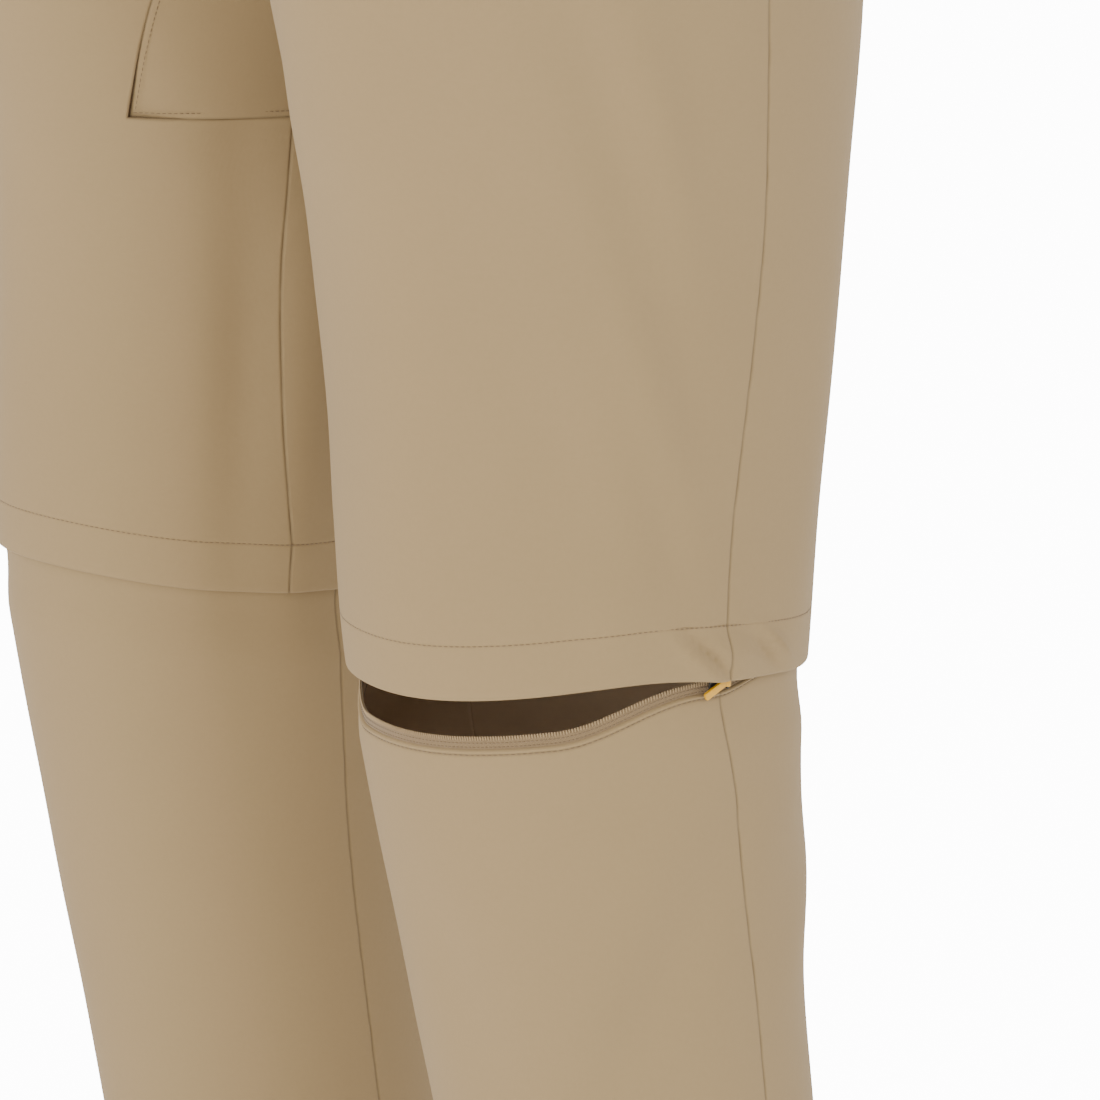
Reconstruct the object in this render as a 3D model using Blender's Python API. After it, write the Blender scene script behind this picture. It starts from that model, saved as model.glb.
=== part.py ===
"""Zip-off trousers, filled out as on a wearer and hanging from the waist.

Metres, +Z up. The front faces -Y and the wearer's left leg is at +X.
The origin is at the centre of the waist opening, half way up the waistband.

Every cloth piece is a wall laid on one garment surface. A point on that surface
is named by a side, a girth share t and a height z: t runs from 0 at the inner leg
round the front (0.25), the outer side (0.5) and the back (0.75) to 1.
Above the crotch 0 and 1 are the centre seams at the front and at the back.
"""
import math

import bmesh
import bpy
import numpy as np
from mathutils import Matrix, Vector

# Cloth and seams
CLOTH = 0.0014
FOLDED_CLOTH = 0.0024
TAPE = 0.0012
SEAM_GAP = 0.0003

# Heights, from the middle of the waistband
WAISTBAND_TOP = 0.020
WAISTBAND_FOOT = -0.020
CROTCH_Z = -0.250
GUSSET_TIP_Z = -0.195
GUSSET_FOOT_Z = -0.325
KNEE_STITCH_Z = -0.4965
KNEE_HEM_Z = -0.517
ANKLE_STITCH_Z = -0.975
ANKLE_HEM_Z = -1.000

# Leg sections below the crotch: height, centre, half width and half depth
LEG_COLUMNS = ("z", "centre_x", "centre_y", "half_width", "half_depth")
LEG_SECTIONS = (
    (-0.130, 0.0960, 0.0100, 0.0960, 0.1240),
    (-0.250, 0.0960, 0.0110, 0.0958, 0.1245),
    (-0.300, 0.0990, 0.0133, 0.0920, 0.1180),
    (-0.340, 0.1020, 0.0150, 0.0877, 0.1110),
    (-0.380, 0.1050, 0.0139, 0.0848, 0.1060),
    (-0.420, 0.1080, 0.0118, 0.0824, 0.1017),
    (-0.460, 0.1110, 0.0083, 0.0806, 0.0983),
    (-0.517, 0.1145, 0.0058, 0.0777, 0.0936),
    (-0.540, 0.1145, 0.0071, 0.0752, 0.0906),
    (-0.580, 0.1150, 0.0109, 0.0726, 0.0865),
    (-0.620, 0.1155, 0.0155, 0.0699, 0.0823),
    (-0.660, 0.1160, 0.0212, 0.0684, 0.0795),
    (-0.700, 0.1165, 0.0280, 0.0668, 0.0775),
    (-0.780, 0.1170, 0.0400, 0.0650, 0.0755),
    (-0.880, 0.1175, 0.0530, 0.0622, 0.0715),
    (-1.000, 0.1180, 0.0640, 0.0600, 0.0680),
)

# Torso ovals above the crotch: height, half width, depth to the front and to the back
TORSO_COLUMNS = ("z", "half_width", "front", "back")
TORSO_SECTIONS = (
    (0.020, 0.1620, 0.1040, 0.1180),
    (-0.020, 0.1645, 0.1060, 0.1220),
    (-0.080, 0.1740, 0.1110, 0.1340),
    (-0.160, 0.1870, 0.1160, 0.1440),
    (-0.250, 0.1920, 0.1180, 0.1440),
)
TORSO_BLEND = 0.160
CROTCH_OVERLAP = 0.42
CROTCH_ROUND = 0.025
CROTCH_ROUND_FADE = 0.150

# The knee hem is tipped: its front and its outer side stand a little higher
TILT_FRONT = math.tan(math.radians(3.0))
TILT_OUTER = math.tan(math.radians(3.5))
TILT_COLUMNS = ("z", "share")
TILT_SHARES = (
    (0.020, 0.0),
    (-0.250, 0.0),
    (-0.460, 1.0),
    (-0.540, 1.0),
    (-0.850, 0.0),
    (-1.000, 0.0),
)

# The knee hem and the zip below it hang a little uneven: side, place, reach and rise
WAVE_COLUMNS = ("side", "t", "reach", "rise")
HEM_WAVES = (
    (1, 0.290, 0.090, -0.0035),
    (1, 0.455, 0.065, 0.0028),
    (1, 0.620, 0.070, -0.0030),
    (-1, 0.200, 0.120, 0.0045),
)
WAVE_HEIGHT = 0.060

# Seam places round the girth; both side seams swing a little on their way to the knee
INSEAM_T = 0.053
INSEAM_SWING = -0.018
INSEAM_BOW = 0.013
OUTSEAM_T = 0.525
OUTSEAM_SWING = -0.017
SWING_FROM_Z = -0.330
GUSSET_FRONT_T = 0.155
GUSSET_BACK_T = -0.140
GUSSET_ROUND = 0.45
LOWER_INSEAM_T = -0.008
LOWER_OUTSEAM_TOP_T = 0.510
LOWER_OUTSEAM_KNEE_SWING = 0.010
LOWER_KNEE_SWING_BY = 0.07
LOWER_OUTSEAM_SWING = 0.014
LOWER_SWING_BY = 0.25

# The largest soft folds: side, girth share and height of the middle, length, width,
# lean from the vertical in degrees, and how far the cloth stands out
FOLD_COLUMNS = ("side", "t", "z", "length", "width", "lean", "out")
FOLDS = (
    (1, 0.455, -0.300, 0.110, 0.022, -9.0, 0.0022),
    (1, 0.440, -0.440, 0.075, 0.018, -22.0, 0.0026),
    (1, 0.300, -0.380, 0.120, 0.030, 4.0, 0.0020),
    (1, 0.600, -0.420, 0.090, 0.020, 8.0, 0.0022),
    (1, 0.700, -0.330, 0.090, 0.022, -14.0, 0.0026),
    (1, 0.440, -0.640, 0.070, 0.024, 24.0, -0.0026),
    (1, 0.330, -0.760, 0.110, 0.026, -8.0, 0.0022),
    (1, 0.680, -0.600, 0.060, 0.020, 52.0, 0.0030),
    (1, 0.740, -0.860, 0.080, 0.024, 38.0, 0.0026),
    (-1, 0.075, -0.440, 0.090, 0.016, 3.0, -0.0030),
    (-1, 0.250, -0.360, 0.120, 0.030, -5.0, 0.0020),
    (-1, 0.450, -0.420, 0.090, 0.024, 12.0, 0.0024),
    (-1, 0.680, -0.360, 0.090, 0.022, 16.0, 0.0026),
    (-1, 0.300, -0.700, 0.110, 0.028, 6.0, 0.0022),
    (-1, 0.700, -0.610, 0.060, 0.020, -48.0, 0.0030),
    (-1, 0.620, -0.850, 0.090, 0.024, -30.0, 0.0026),
)

# The open knee zip of the left leg: where it leaves its closed line and how far it sags
ZIP_ABOVE_HEM = 0.008
MOUTH_SAG = 0.0233
MOUTH_INNER_T = 0.070
MOUTH_INNER_RUN = 0.130
MOUTH_OUTER_T = 0.402
MOUTH_OUTER_RUN = 0.096
SLIDER_SAG_SHARE = 0.43
CLOSING_T = 0.500
CLOSING_RUN = 0.075
BEHIND_FLAP = 0.006
TAPES_PART_T = 0.016
TAPES_PART_RUN = 0.050
TAPE_WIDTH = 0.0055
FLAP_INSET = 0.0037
FLAP_INSET_RUN = 0.026
INSET_BELOW_HEM = 0.004

# Slider and pull tab
SLIDER_T = 0.507
SLIDER_LENGTH = 0.0100
SLIDER_WIDTH = 0.0076
SLIDER_PLATE = 0.0009
SLIDER_SLOPE = 7.0
SLIDER_RISE = 0.00095
POST_WIDTH = 0.0010
POST_LENGTH = 0.0016
BRIDGE_BACK = 0.0028
BRIDGE_HEIGHT = 0.0014
BRIDGE_SPAN = 0.0044
BRIDGE_DROP = 0.0012
BRIDGE_LEG = 0.0007
BAR_RADIUS = 0.00045
TAB_LENGTH = 0.0120
TAB_WIDTH = 0.0030
TAB_THICK = 0.0012
TAB_NECK = 0.0026
TAB_CORNER = 0.0008
TAB_SKEW = 24.0
EYE_INNER = 0.00075
EYE_OUTER = 0.00115
SLIDER_BULGE = 0.0034
SLIDER_BULGE_REACH = 0.017
SLIDER_BULGE_RISE = 0.012
WELD = 0.0002
CHANNEL = TAPE / 2 + SEAM_GAP + 0.0001
SLIDER_FACE = CHANNEL + SLIDER_PLATE
BAR_OUT = SLIDER_FACE + BRIDGE_HEIGHT

# Waist fastening; the profile of the button is given as shares of its radius and thickness
FLY_CLOTH = 0.0010
FLY_LIFT = 0.0009
FLY_FOOT_SHARES = (0.94, 0.40)
FLY_COLUMNS = 3
FLY_ROWS = 5
WAIST_LAP = 0.045
LAP_PAST_MIDDLE = 0.88
LAP_RUN_FROM = 0.42
LAP_RUN = 0.30
BUTTON_ON_LAP = 0.30
BUTTON_LIFT = 0.0006
BUTTON_DIAMETER = 0.017
BUTTON_THICK = 0.0028
BUTTON_PROFILE = (
    (0.0, 0.0),
    (0.90, 0.0),
    (1.0, 0.35),
    (0.92, 1.0),
    (0.72, 1.0),
    (0.62, 0.62),
    (0.0, 0.62),
)
BUTTON_SIDES = 20

# Colours
BEIGE = (0.42, 0.32, 0.22)
TAPE_BEIGE = (0.34, 0.26, 0.17)
DARK_METAL = (0.10, 0.09, 0.08)
YELLOW = (0.60, 0.33, 0.01)
BROWN_PLASTIC = (0.16, 0.11, 0.07)

# How finely the pieces are divided, and how far a slanting seam's gap is widened
FRONT_EASE = 1.14
SLIDER_FINER = 3.5
SLIDER_FINER_REACH = 0.022
BAND_FINE_T = (0.440, 0.570)
PANEL_GAP = 1.4
FRONT_CORNER_GAP = 1.3
BACK_CORNER_GAP = 1.6
CORNER_FOOT_GAP = 1.2
TIP_GAP = 3.0
GUSSET_ROW_EASE = 1.6
LOWER_ROWS = 13
LOWER_EASE = 1.15


def smooth(a):
    """A soft step from 0 to 1 as a goes from 0 to 1."""
    a = np.clip(a, 0.0, 1.0)
    return a * a * (3.0 - 2.0 * a)


def column(rows, names, name, z):
    """One column of a section table at height z, with a cubic through its rows."""
    table = np.array(rows)[::-1]
    heights = table[:, 0]
    values = table[:, names.index(name)]
    slopes = np.gradient(values, heights)
    z = np.clip(np.asarray(z, float), heights[0], heights[-1])
    i = np.clip(np.searchsorted(heights, z) - 1, 0, len(heights) - 2)
    step = heights[i + 1] - heights[i]
    a = (z - heights[i]) / step
    rise = values[i + 1] - values[i]
    bend = (1 - a) * (slopes[i] * step - rise) - a * (slopes[i + 1] * step - rise)
    return values[i] + a * rise + a * (1 - a) * bend


def leg(name, z):
    return column(LEG_SECTIONS, LEG_COLUMNS, name, z)


def torso(name, z):
    return column(TORSO_SECTIONS, TORSO_COLUMNS, name, z)


def girth(z):
    """Length once round a leg at height z."""
    return 2 * math.pi * np.sqrt((leg("half_width", z) ** 2 + leg("half_depth", z) ** 2) / 2)


def fold_height(side, t, z):
    """How far the soft folds stand out of the plain surface."""
    out = np.zeros(np.broadcast(t, z).shape)
    for row in FOLDS:
        fold = dict(zip(FOLD_COLUMNS, row))
        if fold["side"] != side:
            continue
        lean = math.radians(fold["lean"])
        across = (t - fold["t"]) * girth(fold["z"])
        up = z - fold["z"]
        along = up * math.cos(lean) + across * math.sin(lean)
        beside = across * math.cos(lean) - up * math.sin(lean)
        out += fold["out"] * np.exp(-(along / fold["length"]) ** 2 - (beside / fold["width"]) ** 2)
    return out


def hem_wave(side, t, z):
    """How far the cloth round the knee is lifted or let down."""
    rise = np.zeros(np.broadcast(t, z).shape)
    for row in HEM_WAVES:
        wave = dict(zip(WAVE_COLUMNS, row))
        if wave["side"] == side:
            rise += wave["rise"] * np.exp(-((t - wave["t"]) / wave["reach"]) ** 2)
    return rise * np.exp(-((z - KNEE_HEM_Z) / WAVE_HEIGHT) ** 2)


def seam_swing(z):
    """Share of a side seam's swing at height z."""
    return smooth((SWING_FROM_Z - z) / (SWING_FROM_Z - KNEE_STITCH_Z))


def inseam(z):
    """Girth share of the inseam: it bows a little to the front on its way down the thigh."""
    down = np.clip((GUSSET_FOOT_Z - z) / (GUSSET_FOOT_Z - KNEE_STITCH_Z), 0, 1)
    return INSEAM_T + INSEAM_SWING * seam_swing(z) + INSEAM_BOW * 4 * down * (1 - down)


def garment(side, t, z):
    """The outer surface: leg ovals that lap and blend into a torso oval above the crotch."""
    t, z = np.broadcast_arrays(np.asarray(t, float), np.asarray(z, float))
    t = np.where(t < 0, t + 1, np.where(t > 1, t - 1, t))
    centre_x, centre_y = leg("centre_x", z), leg("centre_y", z)
    half_width, half_depth = leg("half_width", z), leg("half_depth", z)
    above = np.clip(z - CROTCH_Z, 0, None)
    inner = np.where(above > 0, centre_x + CROTCH_OVERLAP * above, half_width)
    cut = np.arccos(np.clip(centre_x / inner, 0, 1)) * (above > 0)
    angle = -math.pi + cut + (2 * math.pi - 2 * cut) * t
    reach = np.where(np.cos(angle) < 0, inner, half_width)
    leg_x = centre_x + reach * np.cos(angle)
    leg_y = centre_y + half_depth * np.sin(angle)
    turn = -math.pi / 2 + math.pi * t
    torso_x = torso("half_width", z) * np.cos(turn)
    depth = np.where(np.sin(turn) < 0, torso("front", z), torso("back", z))
    torso_y = depth * np.sin(turn)
    share = smooth(above / TORSO_BLEND)
    x = np.clip(leg_x + (torso_x - leg_x) * share, 0, None)
    y = leg_y + (torso_y - leg_y) * share
    fade = smooth((CROTCH_Z - z) / CROTCH_ROUND_FADE)
    rounding = np.clip(CROTCH_ROUND * (1 - share) * (1 - fade), 1e-6, None)
    x = np.sqrt(x * x + 2 * rounding * x * np.exp(-x / (2 * rounding)))
    out = fold_height(side, t, z)
    tilt = column(TILT_SHARES, TILT_COLUMNS, "share", z)
    height = z + tilt * (TILT_OUTER * (x - centre_x) - TILT_FRONT * (y - centre_y))
    height = height + hem_wave(side, t, z)
    return np.stack([side * (x + out * np.cos(angle)), y + out * np.sin(angle), height], -1)


def layer(side, t, z, inset=0.0):
    """Garment surface points moved in along the surface normal by inset."""
    t, z = np.broadcast_arrays(np.asarray(t, float), np.asarray(z, float))
    step = 1e-4
    closed = z > CROTCH_Z
    t_low = np.where(closed & (t >= 0), np.maximum(t - step, 0), t - step)
    t_high = np.where(closed & (t <= 1), np.minimum(t + step, 1), t + step)
    along = garment(side, t_high, z) - garment(side, t_low, z)
    up = garment(side, t, z + step) - garment(side, t, z - step)
    normal = side * np.cross(along, up)
    point = garment(side, t, z)
    middle = np.abs(point[..., 0]) < 1e-5
    normal[..., 0] = np.where(middle, 0, normal[..., 0])
    normal /= np.linalg.norm(normal, axis=-1, keepdims=True)
    return point - normal * np.asarray(inset, float)[..., None]


def keep_off_middle(points, side):
    """Hold a panel half a seam gap clear of the centre plane."""
    points[..., 0] = side * np.maximum(side * points[..., 0], SEAM_GAP / 2)
    return points


def wall(name, outer, inner, keep=None, round_tube=False, flip=False):
    """A closed cloth wall from two grids of points; keep says which cells are cloth."""
    rows, columns = outer.shape[:2]
    cells = columns if round_tube else columns - 1
    if keep is None:
        keep = np.ones((rows - 1, cells), bool)
    count = rows * columns
    faces, edges = [], {}
    for r, c in zip(*np.nonzero(keep)):
        after = (c + 1) % columns
        ring = [r * columns + c, r * columns + after, (r + 1) * columns + after, (r + 1) * columns + c]
        if flip:
            ring.reverse()
        faces.append(ring)
        faces.append([count + i for i in reversed(ring)])
        for a, b in zip(ring, ring[1:] + ring[:1]):
            edges[(a, b)] = True
    for a, b in edges:
        if (b, a) not in edges:
            faces.append([b, a, count + a, count + b])
    mesh = bpy.data.meshes.new(name)
    points = np.concatenate([outer.reshape(-1, 3), inner.reshape(-1, 3)])
    mesh.from_pydata(points.tolist(), [], faces)
    tidy = bmesh.new()
    tidy.from_mesh(mesh)
    loose = [v for v in tidy.verts if not v.link_faces]
    bmesh.ops.delete(tidy, geom=loose, context="VERTS")
    bmesh.ops.triangulate(tidy, faces=tidy.faces)
    bmesh.ops.recalc_face_normals(tidy, faces=tidy.faces)
    if tidy.calc_volume(signed=True) < 0:
        bmesh.ops.reverse_faces(tidy, faces=tidy.faces)
    tidy.to_mesh(mesh)
    tidy.free()
    mesh.shade_smooth()
    mesh.set_sharp_from_angle(angle=math.radians(40))
    return add(name, mesh)


def add(name, mesh):
    piece = bpy.data.objects.new(name, mesh)
    bpy.context.scene.collection.objects.link(piece)
    return piece


def finish(piece, colour, roughness, metallic=0.0):
    """Give a piece its own Principled material."""
    material = bpy.data.materials.new(piece.name)
    material.use_nodes = True
    shader = material.node_tree.nodes["Principled BSDF"]
    shader.inputs["Base Color"].default_value = (*colour, 1.0)
    shader.inputs["Roughness"].default_value = roughness
    shader.inputs["Metallic"].default_value = metallic
    piece.data.materials.clear()
    piece.data.materials.append(material)
    return piece


def cloth_piece(name, side, t, z, inset=0.0, thick=CLOTH, keep=None, round_tube=False):
    """A cloth wall on the garment surface, its outer face inset and its inner face thick below."""
    outer = layer(side, t, z, inset)
    inner = layer(side, t, z, np.asarray(inset) + thick)
    if not round_tube:
        outer, inner = keep_off_middle(outer, side), keep_off_middle(inner, side)
    piece = wall(name, outer, inner, keep, round_tube, flip=side < 0)
    return finish(piece, BEIGE, 0.85)


def steps(start, end, count):
    return np.linspace(start, end, count + 1)


# Girth samples that neighbouring pieces share
GUSSET_FRONT_STEPS = steps(INSEAM_T, GUSSET_FRONT_T, 3)
FRONT_SHARES = steps(0, 1, 12) ** FRONT_EASE
FRONT_STEPS = GUSSET_FRONT_T + (OUTSEAM_T - GUSSET_FRONT_T) * FRONT_SHARES
BACK_STEPS = steps(OUTSEAM_T, 1 + GUSSET_BACK_T, 10)
GUSSET_BACK_STEPS = steps(1 + GUSSET_BACK_T, 1 + INSEAM_T, 5)
GUSSET_ROWS = GUSSET_TIP_Z + (GUSSET_FOOT_Z - GUSSET_TIP_Z) * steps(0, 1, 8) ** GUSSET_ROW_EASE
TOP_ROWS = steps(WAISTBAND_FOOT - SEAM_GAP, GUSSET_TIP_Z, 5)
THIGH_ROWS = steps(GUSSET_FOOT_Z, KNEE_STITCH_Z + SEAM_GAP, 8)


def shorts_panel(name, side, back):
    """A front or back panel: rise, outseam, thigh, and a corner left out for the gusset."""
    z = np.concatenate([TOP_ROWS[:-1], GUSSET_ROWS[:-1], THIGH_ROWS])
    rows_above = len(TOP_ROWS) + len(GUSSET_ROWS) - 2
    climb = np.clip((GUSSET_TIP_Z - z) / (GUSSET_TIP_Z - GUSSET_FOOT_Z), 0, 1)
    t_gap = PANEL_GAP * SEAM_GAP / girth(z)
    if back:
        seam_edge = 1 + GUSSET_BACK_T * climb - BACK_CORNER_GAP * t_gap * (climb > 0)
        corner = GUSSET_BACK_STEPS
        start = OUTSEAM_T + OUTSEAM_SWING * seam_swing(z) + t_gap / 2
        share = (BACK_STEPS - BACK_STEPS[0]) / (BACK_STEPS[-1] - BACK_STEPS[0])
        body = start[:, None] + (seam_edge - start)[:, None] * share
        tail = np.repeat(corner[None, 1:], len(z), 0)
        tail[:, -1] += inseam(z) - INSEAM_T - t_gap / 2
        t = np.concatenate([body, tail], 1)
        cloth = np.arange(t.shape[1] - 1) < len(share) - 1
    else:
        seam_edge = GUSSET_FRONT_T * climb ** GUSSET_ROUND + FRONT_CORNER_GAP * t_gap * (climb > 0)
        corner = GUSSET_FRONT_STEPS
        end = OUTSEAM_T + OUTSEAM_SWING * seam_swing(z) - t_gap / 2
        body = seam_edge[:, None] + (end - seam_edge)[:, None] * FRONT_SHARES
        head = np.repeat(corner[None, :-1], len(z), 0)
        head[:, 0] += inseam(z) - INSEAM_T + t_gap / 2
        t = np.concatenate([head, body], 1)
        cloth = np.arange(t.shape[1] - 1) >= len(corner) - 1
    keep = np.ones((len(z) - 1, t.shape[1] - 1), bool)
    keep[:rows_above] = cloth
    over_corner = ~np.insert(cloth, 0, True) if back else ~np.append(cloth, True)
    z = np.repeat(z[:, None], t.shape[1], 1)
    z[rows_above] -= CORNER_FOOT_GAP * SEAM_GAP * over_corner
    return cloth_piece(name, side, t, z, keep=keep)


def gusset():
    """A wide piece over the saddle between the legs, from one inner thigh to the other."""
    across = np.concatenate([GUSSET_FRONT_STEPS[::-1], GUSSET_BACK_STEPS[::-1][1:] - 1])
    climb = np.abs(across) / np.where(across > 0, GUSSET_FRONT_T, -GUSSET_BACK_T)
    top = CROTCH_Z + (GUSSET_TIP_Z - TIP_GAP * SEAM_GAP - CROTCH_Z) * climb ** 2
    down = (GUSSET_ROWS - GUSSET_TIP_Z) / (GUSSET_FOOT_Z - GUSSET_TIP_Z)
    t = across[None, :] * np.maximum(down, 1e-5)[:, None] ** np.where(across > 0, GUSSET_ROUND, 1)
    z = top[None, :] + (GUSSET_FOOT_Z + SEAM_GAP - top[None, :]) * down[:, None]
    halves = []
    for thick in (0.0, CLOTH):
        left = layer(1, t, z, thick)
        left[0, :, 0] = 0
        right = left[:0:-1] * np.array([-1.0, 1.0, 1.0])
        halves.append(np.concatenate([right, left]))
    return finish(wall("crotch_gusset", *halves), BEIGE, 0.85)


# Girth samples of the knee bands, finer where the left one passes over the slider
BAND_STEPS = np.concatenate([
    steps(INSEAM_T, BAND_FINE_T[0], 15)[:-1],
    steps(*BAND_FINE_T, 10)[:-1],
    steps(BAND_FINE_T[1], 1 + INSEAM_T, 18)[:-1],
])


def slider_bulge(t, z):
    """The flap stands out where it lies over the slider."""
    across = (t - SLIDER_T) * girth(KNEE_HEM_Z)
    down = smooth((KNEE_STITCH_Z - z) / SLIDER_BULGE_RISE)
    return SLIDER_BULGE * np.exp(-(across / SLIDER_BULGE_REACH) ** 2) * down


def knee_band(name, side):
    """The folded hem of the shorts part, a flap over the zip."""
    z = steps(KNEE_STITCH_Z, KNEE_HEM_Z, 3)[:, None]
    t = BAND_STEPS[None, :]
    inset = -slider_bulge(t, z) if side > 0 else np.zeros(np.broadcast(t, z).shape)
    return cloth_piece(name, side, t, z, inset, FOLDED_CLOTH, round_tube=True)


def mouth(t):
    """How far the zip line lies below the closed line, as a share of the full sag."""
    t = np.where(t < 0, t + 1, t)
    rise = smooth((t - MOUTH_INNER_T) / MOUTH_INNER_RUN)
    to_slider = (1 - SLIDER_SAG_SHARE) * smooth((t - MOUTH_OUTER_T) / MOUTH_OUTER_RUN)
    closing = SLIDER_SAG_SHARE * smooth((t - CLOSING_T) / CLOSING_RUN)
    return rise * (1 - to_slider - closing)


def zip_line(side, t):
    """Height of the zip's teeth round the leg."""
    sag = MOUTH_SAG * mouth(t) if side > 0 else 0 * t
    return KNEE_HEM_Z + ZIP_ABOVE_HEM - sag


def even_steps(start, end, count):
    """Girth samples spaced evenly along the zip line, its heights counted twice, finer at the slider."""
    t = np.linspace(start, end, 400)
    run = np.hypot(np.gradient(t) * girth(KNEE_HEM_Z), 2 * np.gradient(zip_line(1, t)))
    run *= 1 + SLIDER_FINER * np.exp(-((t - SLIDER_T) / SLIDER_FINER_REACH) ** 2)
    length = np.concatenate([[0], np.cumsum(run[1:])])
    return np.interp(np.linspace(0, length[-1], count + 1), length, t)


LOWER_FRONT_STEPS = even_steps(LOWER_INSEAM_T, LOWER_OUTSEAM_TOP_T, 19)
LOWER_BACK_STEPS = even_steps(LOWER_OUTSEAM_TOP_T, 1 + LOWER_INSEAM_T, 12)


def lower_inset(z):
    """The lower leg starts inside the flap and comes out to the surface below it."""
    return FLAP_INSET * (1 - smooth((KNEE_HEM_Z - INSET_BELOW_HEM - z) / FLAP_INSET_RUN))


def lower_ring():
    return np.concatenate([LOWER_FRONT_STEPS[:-1], LOWER_BACK_STEPS[:-1]])[None, :]


def tape_piece(name, side, top, foot):
    """A zip tape round the leg between two heights."""
    t = lower_ring()
    z = np.stack([top, foot]) if np.ndim(top) == 1 else np.array([top, foot])
    piece = cloth_piece(name, side, np.repeat(t, 2, 0), z, lower_inset(z), TAPE, round_tube=True)
    return finish(piece, TAPE_BEIGE, 0.8)


def upper_tape_foot(t):
    """The upper half of the open zip: with the lower one behind the slider, then up behind the flap."""
    closed_end = SLIDER_T + SLIDER_LENGTH / 2 / girth(KNEE_HEM_Z)
    level = zip_line(1, closed_end)
    away = smooth((SLIDER_T - TAPES_PART_T - t) / TAPES_PART_RUN)
    away = away * smooth((t - MOUTH_INNER_T) / MOUTH_INNER_RUN)
    apart = level + away * (KNEE_HEM_Z + BEHIND_FLAP - level)
    return np.where(t < closed_end, np.maximum(zip_line(1, t), apart), zip_line(1, t)) + SEAM_GAP / 2


def knee_zip(side):
    t = lower_ring()[0]
    top = np.full_like(t, KNEE_STITCH_Z - SEAM_GAP)
    cloth_edge = zip_line(side, t) - TAPE_WIDTH
    if side < 0:
        tape_piece("right_knee_zip", side, top, cloth_edge + SEAM_GAP)
        return
    tape_piece("left_upper_zip_tape", side, top, upper_tape_foot(t))
    tape_piece("left_lower_zip_tape", side, zip_line(side, t) - SEAM_GAP / 2, cloth_edge + SEAM_GAP)


def lower_panel(name, side, back):
    """A front or back panel of the leg below the knee zip."""
    top_t = LOWER_BACK_STEPS if back else LOWER_FRONT_STEPS
    drop = steps(0, 1, LOWER_ROWS)[:, None] ** LOWER_EASE
    outseam_shift = LOWER_OUTSEAM_KNEE_SWING * smooth(drop / LOWER_KNEE_SWING_BY)
    outseam_shift = outseam_shift + LOWER_OUTSEAM_SWING * smooth(drop / LOWER_SWING_BY)
    share = (top_t - top_t[0]) / (top_t[-1] - top_t[0])
    near_outseam = 1 - share if back else share
    t = top_t[None, :] + outseam_shift * near_outseam[None, :]
    top_z = zip_line(side, top_t) - TAPE_WIDTH
    z = top_z[None, :] + (ANKLE_STITCH_Z + SEAM_GAP - top_z[None, :]) * drop
    t_gap = 0.5 * SEAM_GAP / girth(z)
    t[:, 0] += t_gap[:, 0]
    t[:, -1] -= t_gap[:, -1]
    return cloth_piece(name, side, t, z, lower_inset(z))


def ankle_band(name, side):
    """The folded hem at the ankle."""
    t = lower_ring()
    return cloth_piece(name, side, t, steps(ANKLE_STITCH_Z, ANKLE_HEM_Z, 2)[:, None],
                       thick=FOLDED_CLOTH, round_tube=True)


def waist_point(angle, z, out):
    """The waist oval at an angle from the centre front, towards the wearer's left, moved out."""
    depth = np.where(np.cos(angle) > 0, torso("front", z), torso("back", z))
    x = (torso("half_width", z) + out) * np.sin(angle)
    y = -(depth + out) * np.cos(angle)
    return np.stack([x, y, z + 0 * x], -1)


def waistband():
    """One strip round the waist; its left end laps over the right one at the front."""
    lap = WAIST_LAP / torso("front", 0.0)
    under_end, over_end = (LAP_PAST_MIDDLE - 1) * lap, 2 * math.pi + LAP_PAST_MIDDLE * lap
    angle = steps(over_end, under_end, 48)[None, :]
    z = steps(WAISTBAND_TOP, WAISTBAND_FOOT, 3)[:, None]
    lift = (FOLDED_CLOTH + SEAM_GAP) * smooth((angle - 2 * math.pi + LAP_RUN_FROM) / LAP_RUN)
    outer = waist_point(-angle, z, lift)
    inner = waist_point(-angle, z, lift - FOLDED_CLOTH)
    return finish(wall("waistband", outer, inner), BEIGE, 0.85)


def fly_flap():
    """The double edge over the fly zip, made from the left front's own points and rounded below."""
    t = OUTSEAM_T * np.repeat(FRONT_SHARES[None, :FLY_COLUMNS], FLY_ROWS, 0)
    t[-2:] *= np.array(FLY_FOOT_SHARES)[:, None]
    z = np.repeat(TOP_ROWS[:FLY_ROWS, None], FLY_COLUMNS, 1)
    return cloth_piece("fly_flap", 1, t, z, inset=-(FLY_LIFT + FLY_CLOTH), thick=FLY_CLOTH)


def on_waist_lap(out):
    """Place and outward direction of the button on the lapped end of the waistband."""
    angle = -BUTTON_ON_LAP * WAIST_LAP / torso("front", 0.0)
    centre = waist_point(np.array([angle]), np.array([0.0]), out)[0]
    normal = Vector((math.sin(angle) / torso("half_width", 0.0), -math.cos(angle) / torso("front", 0.0), 0))
    return Vector(centre), normal.normalized()


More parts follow.
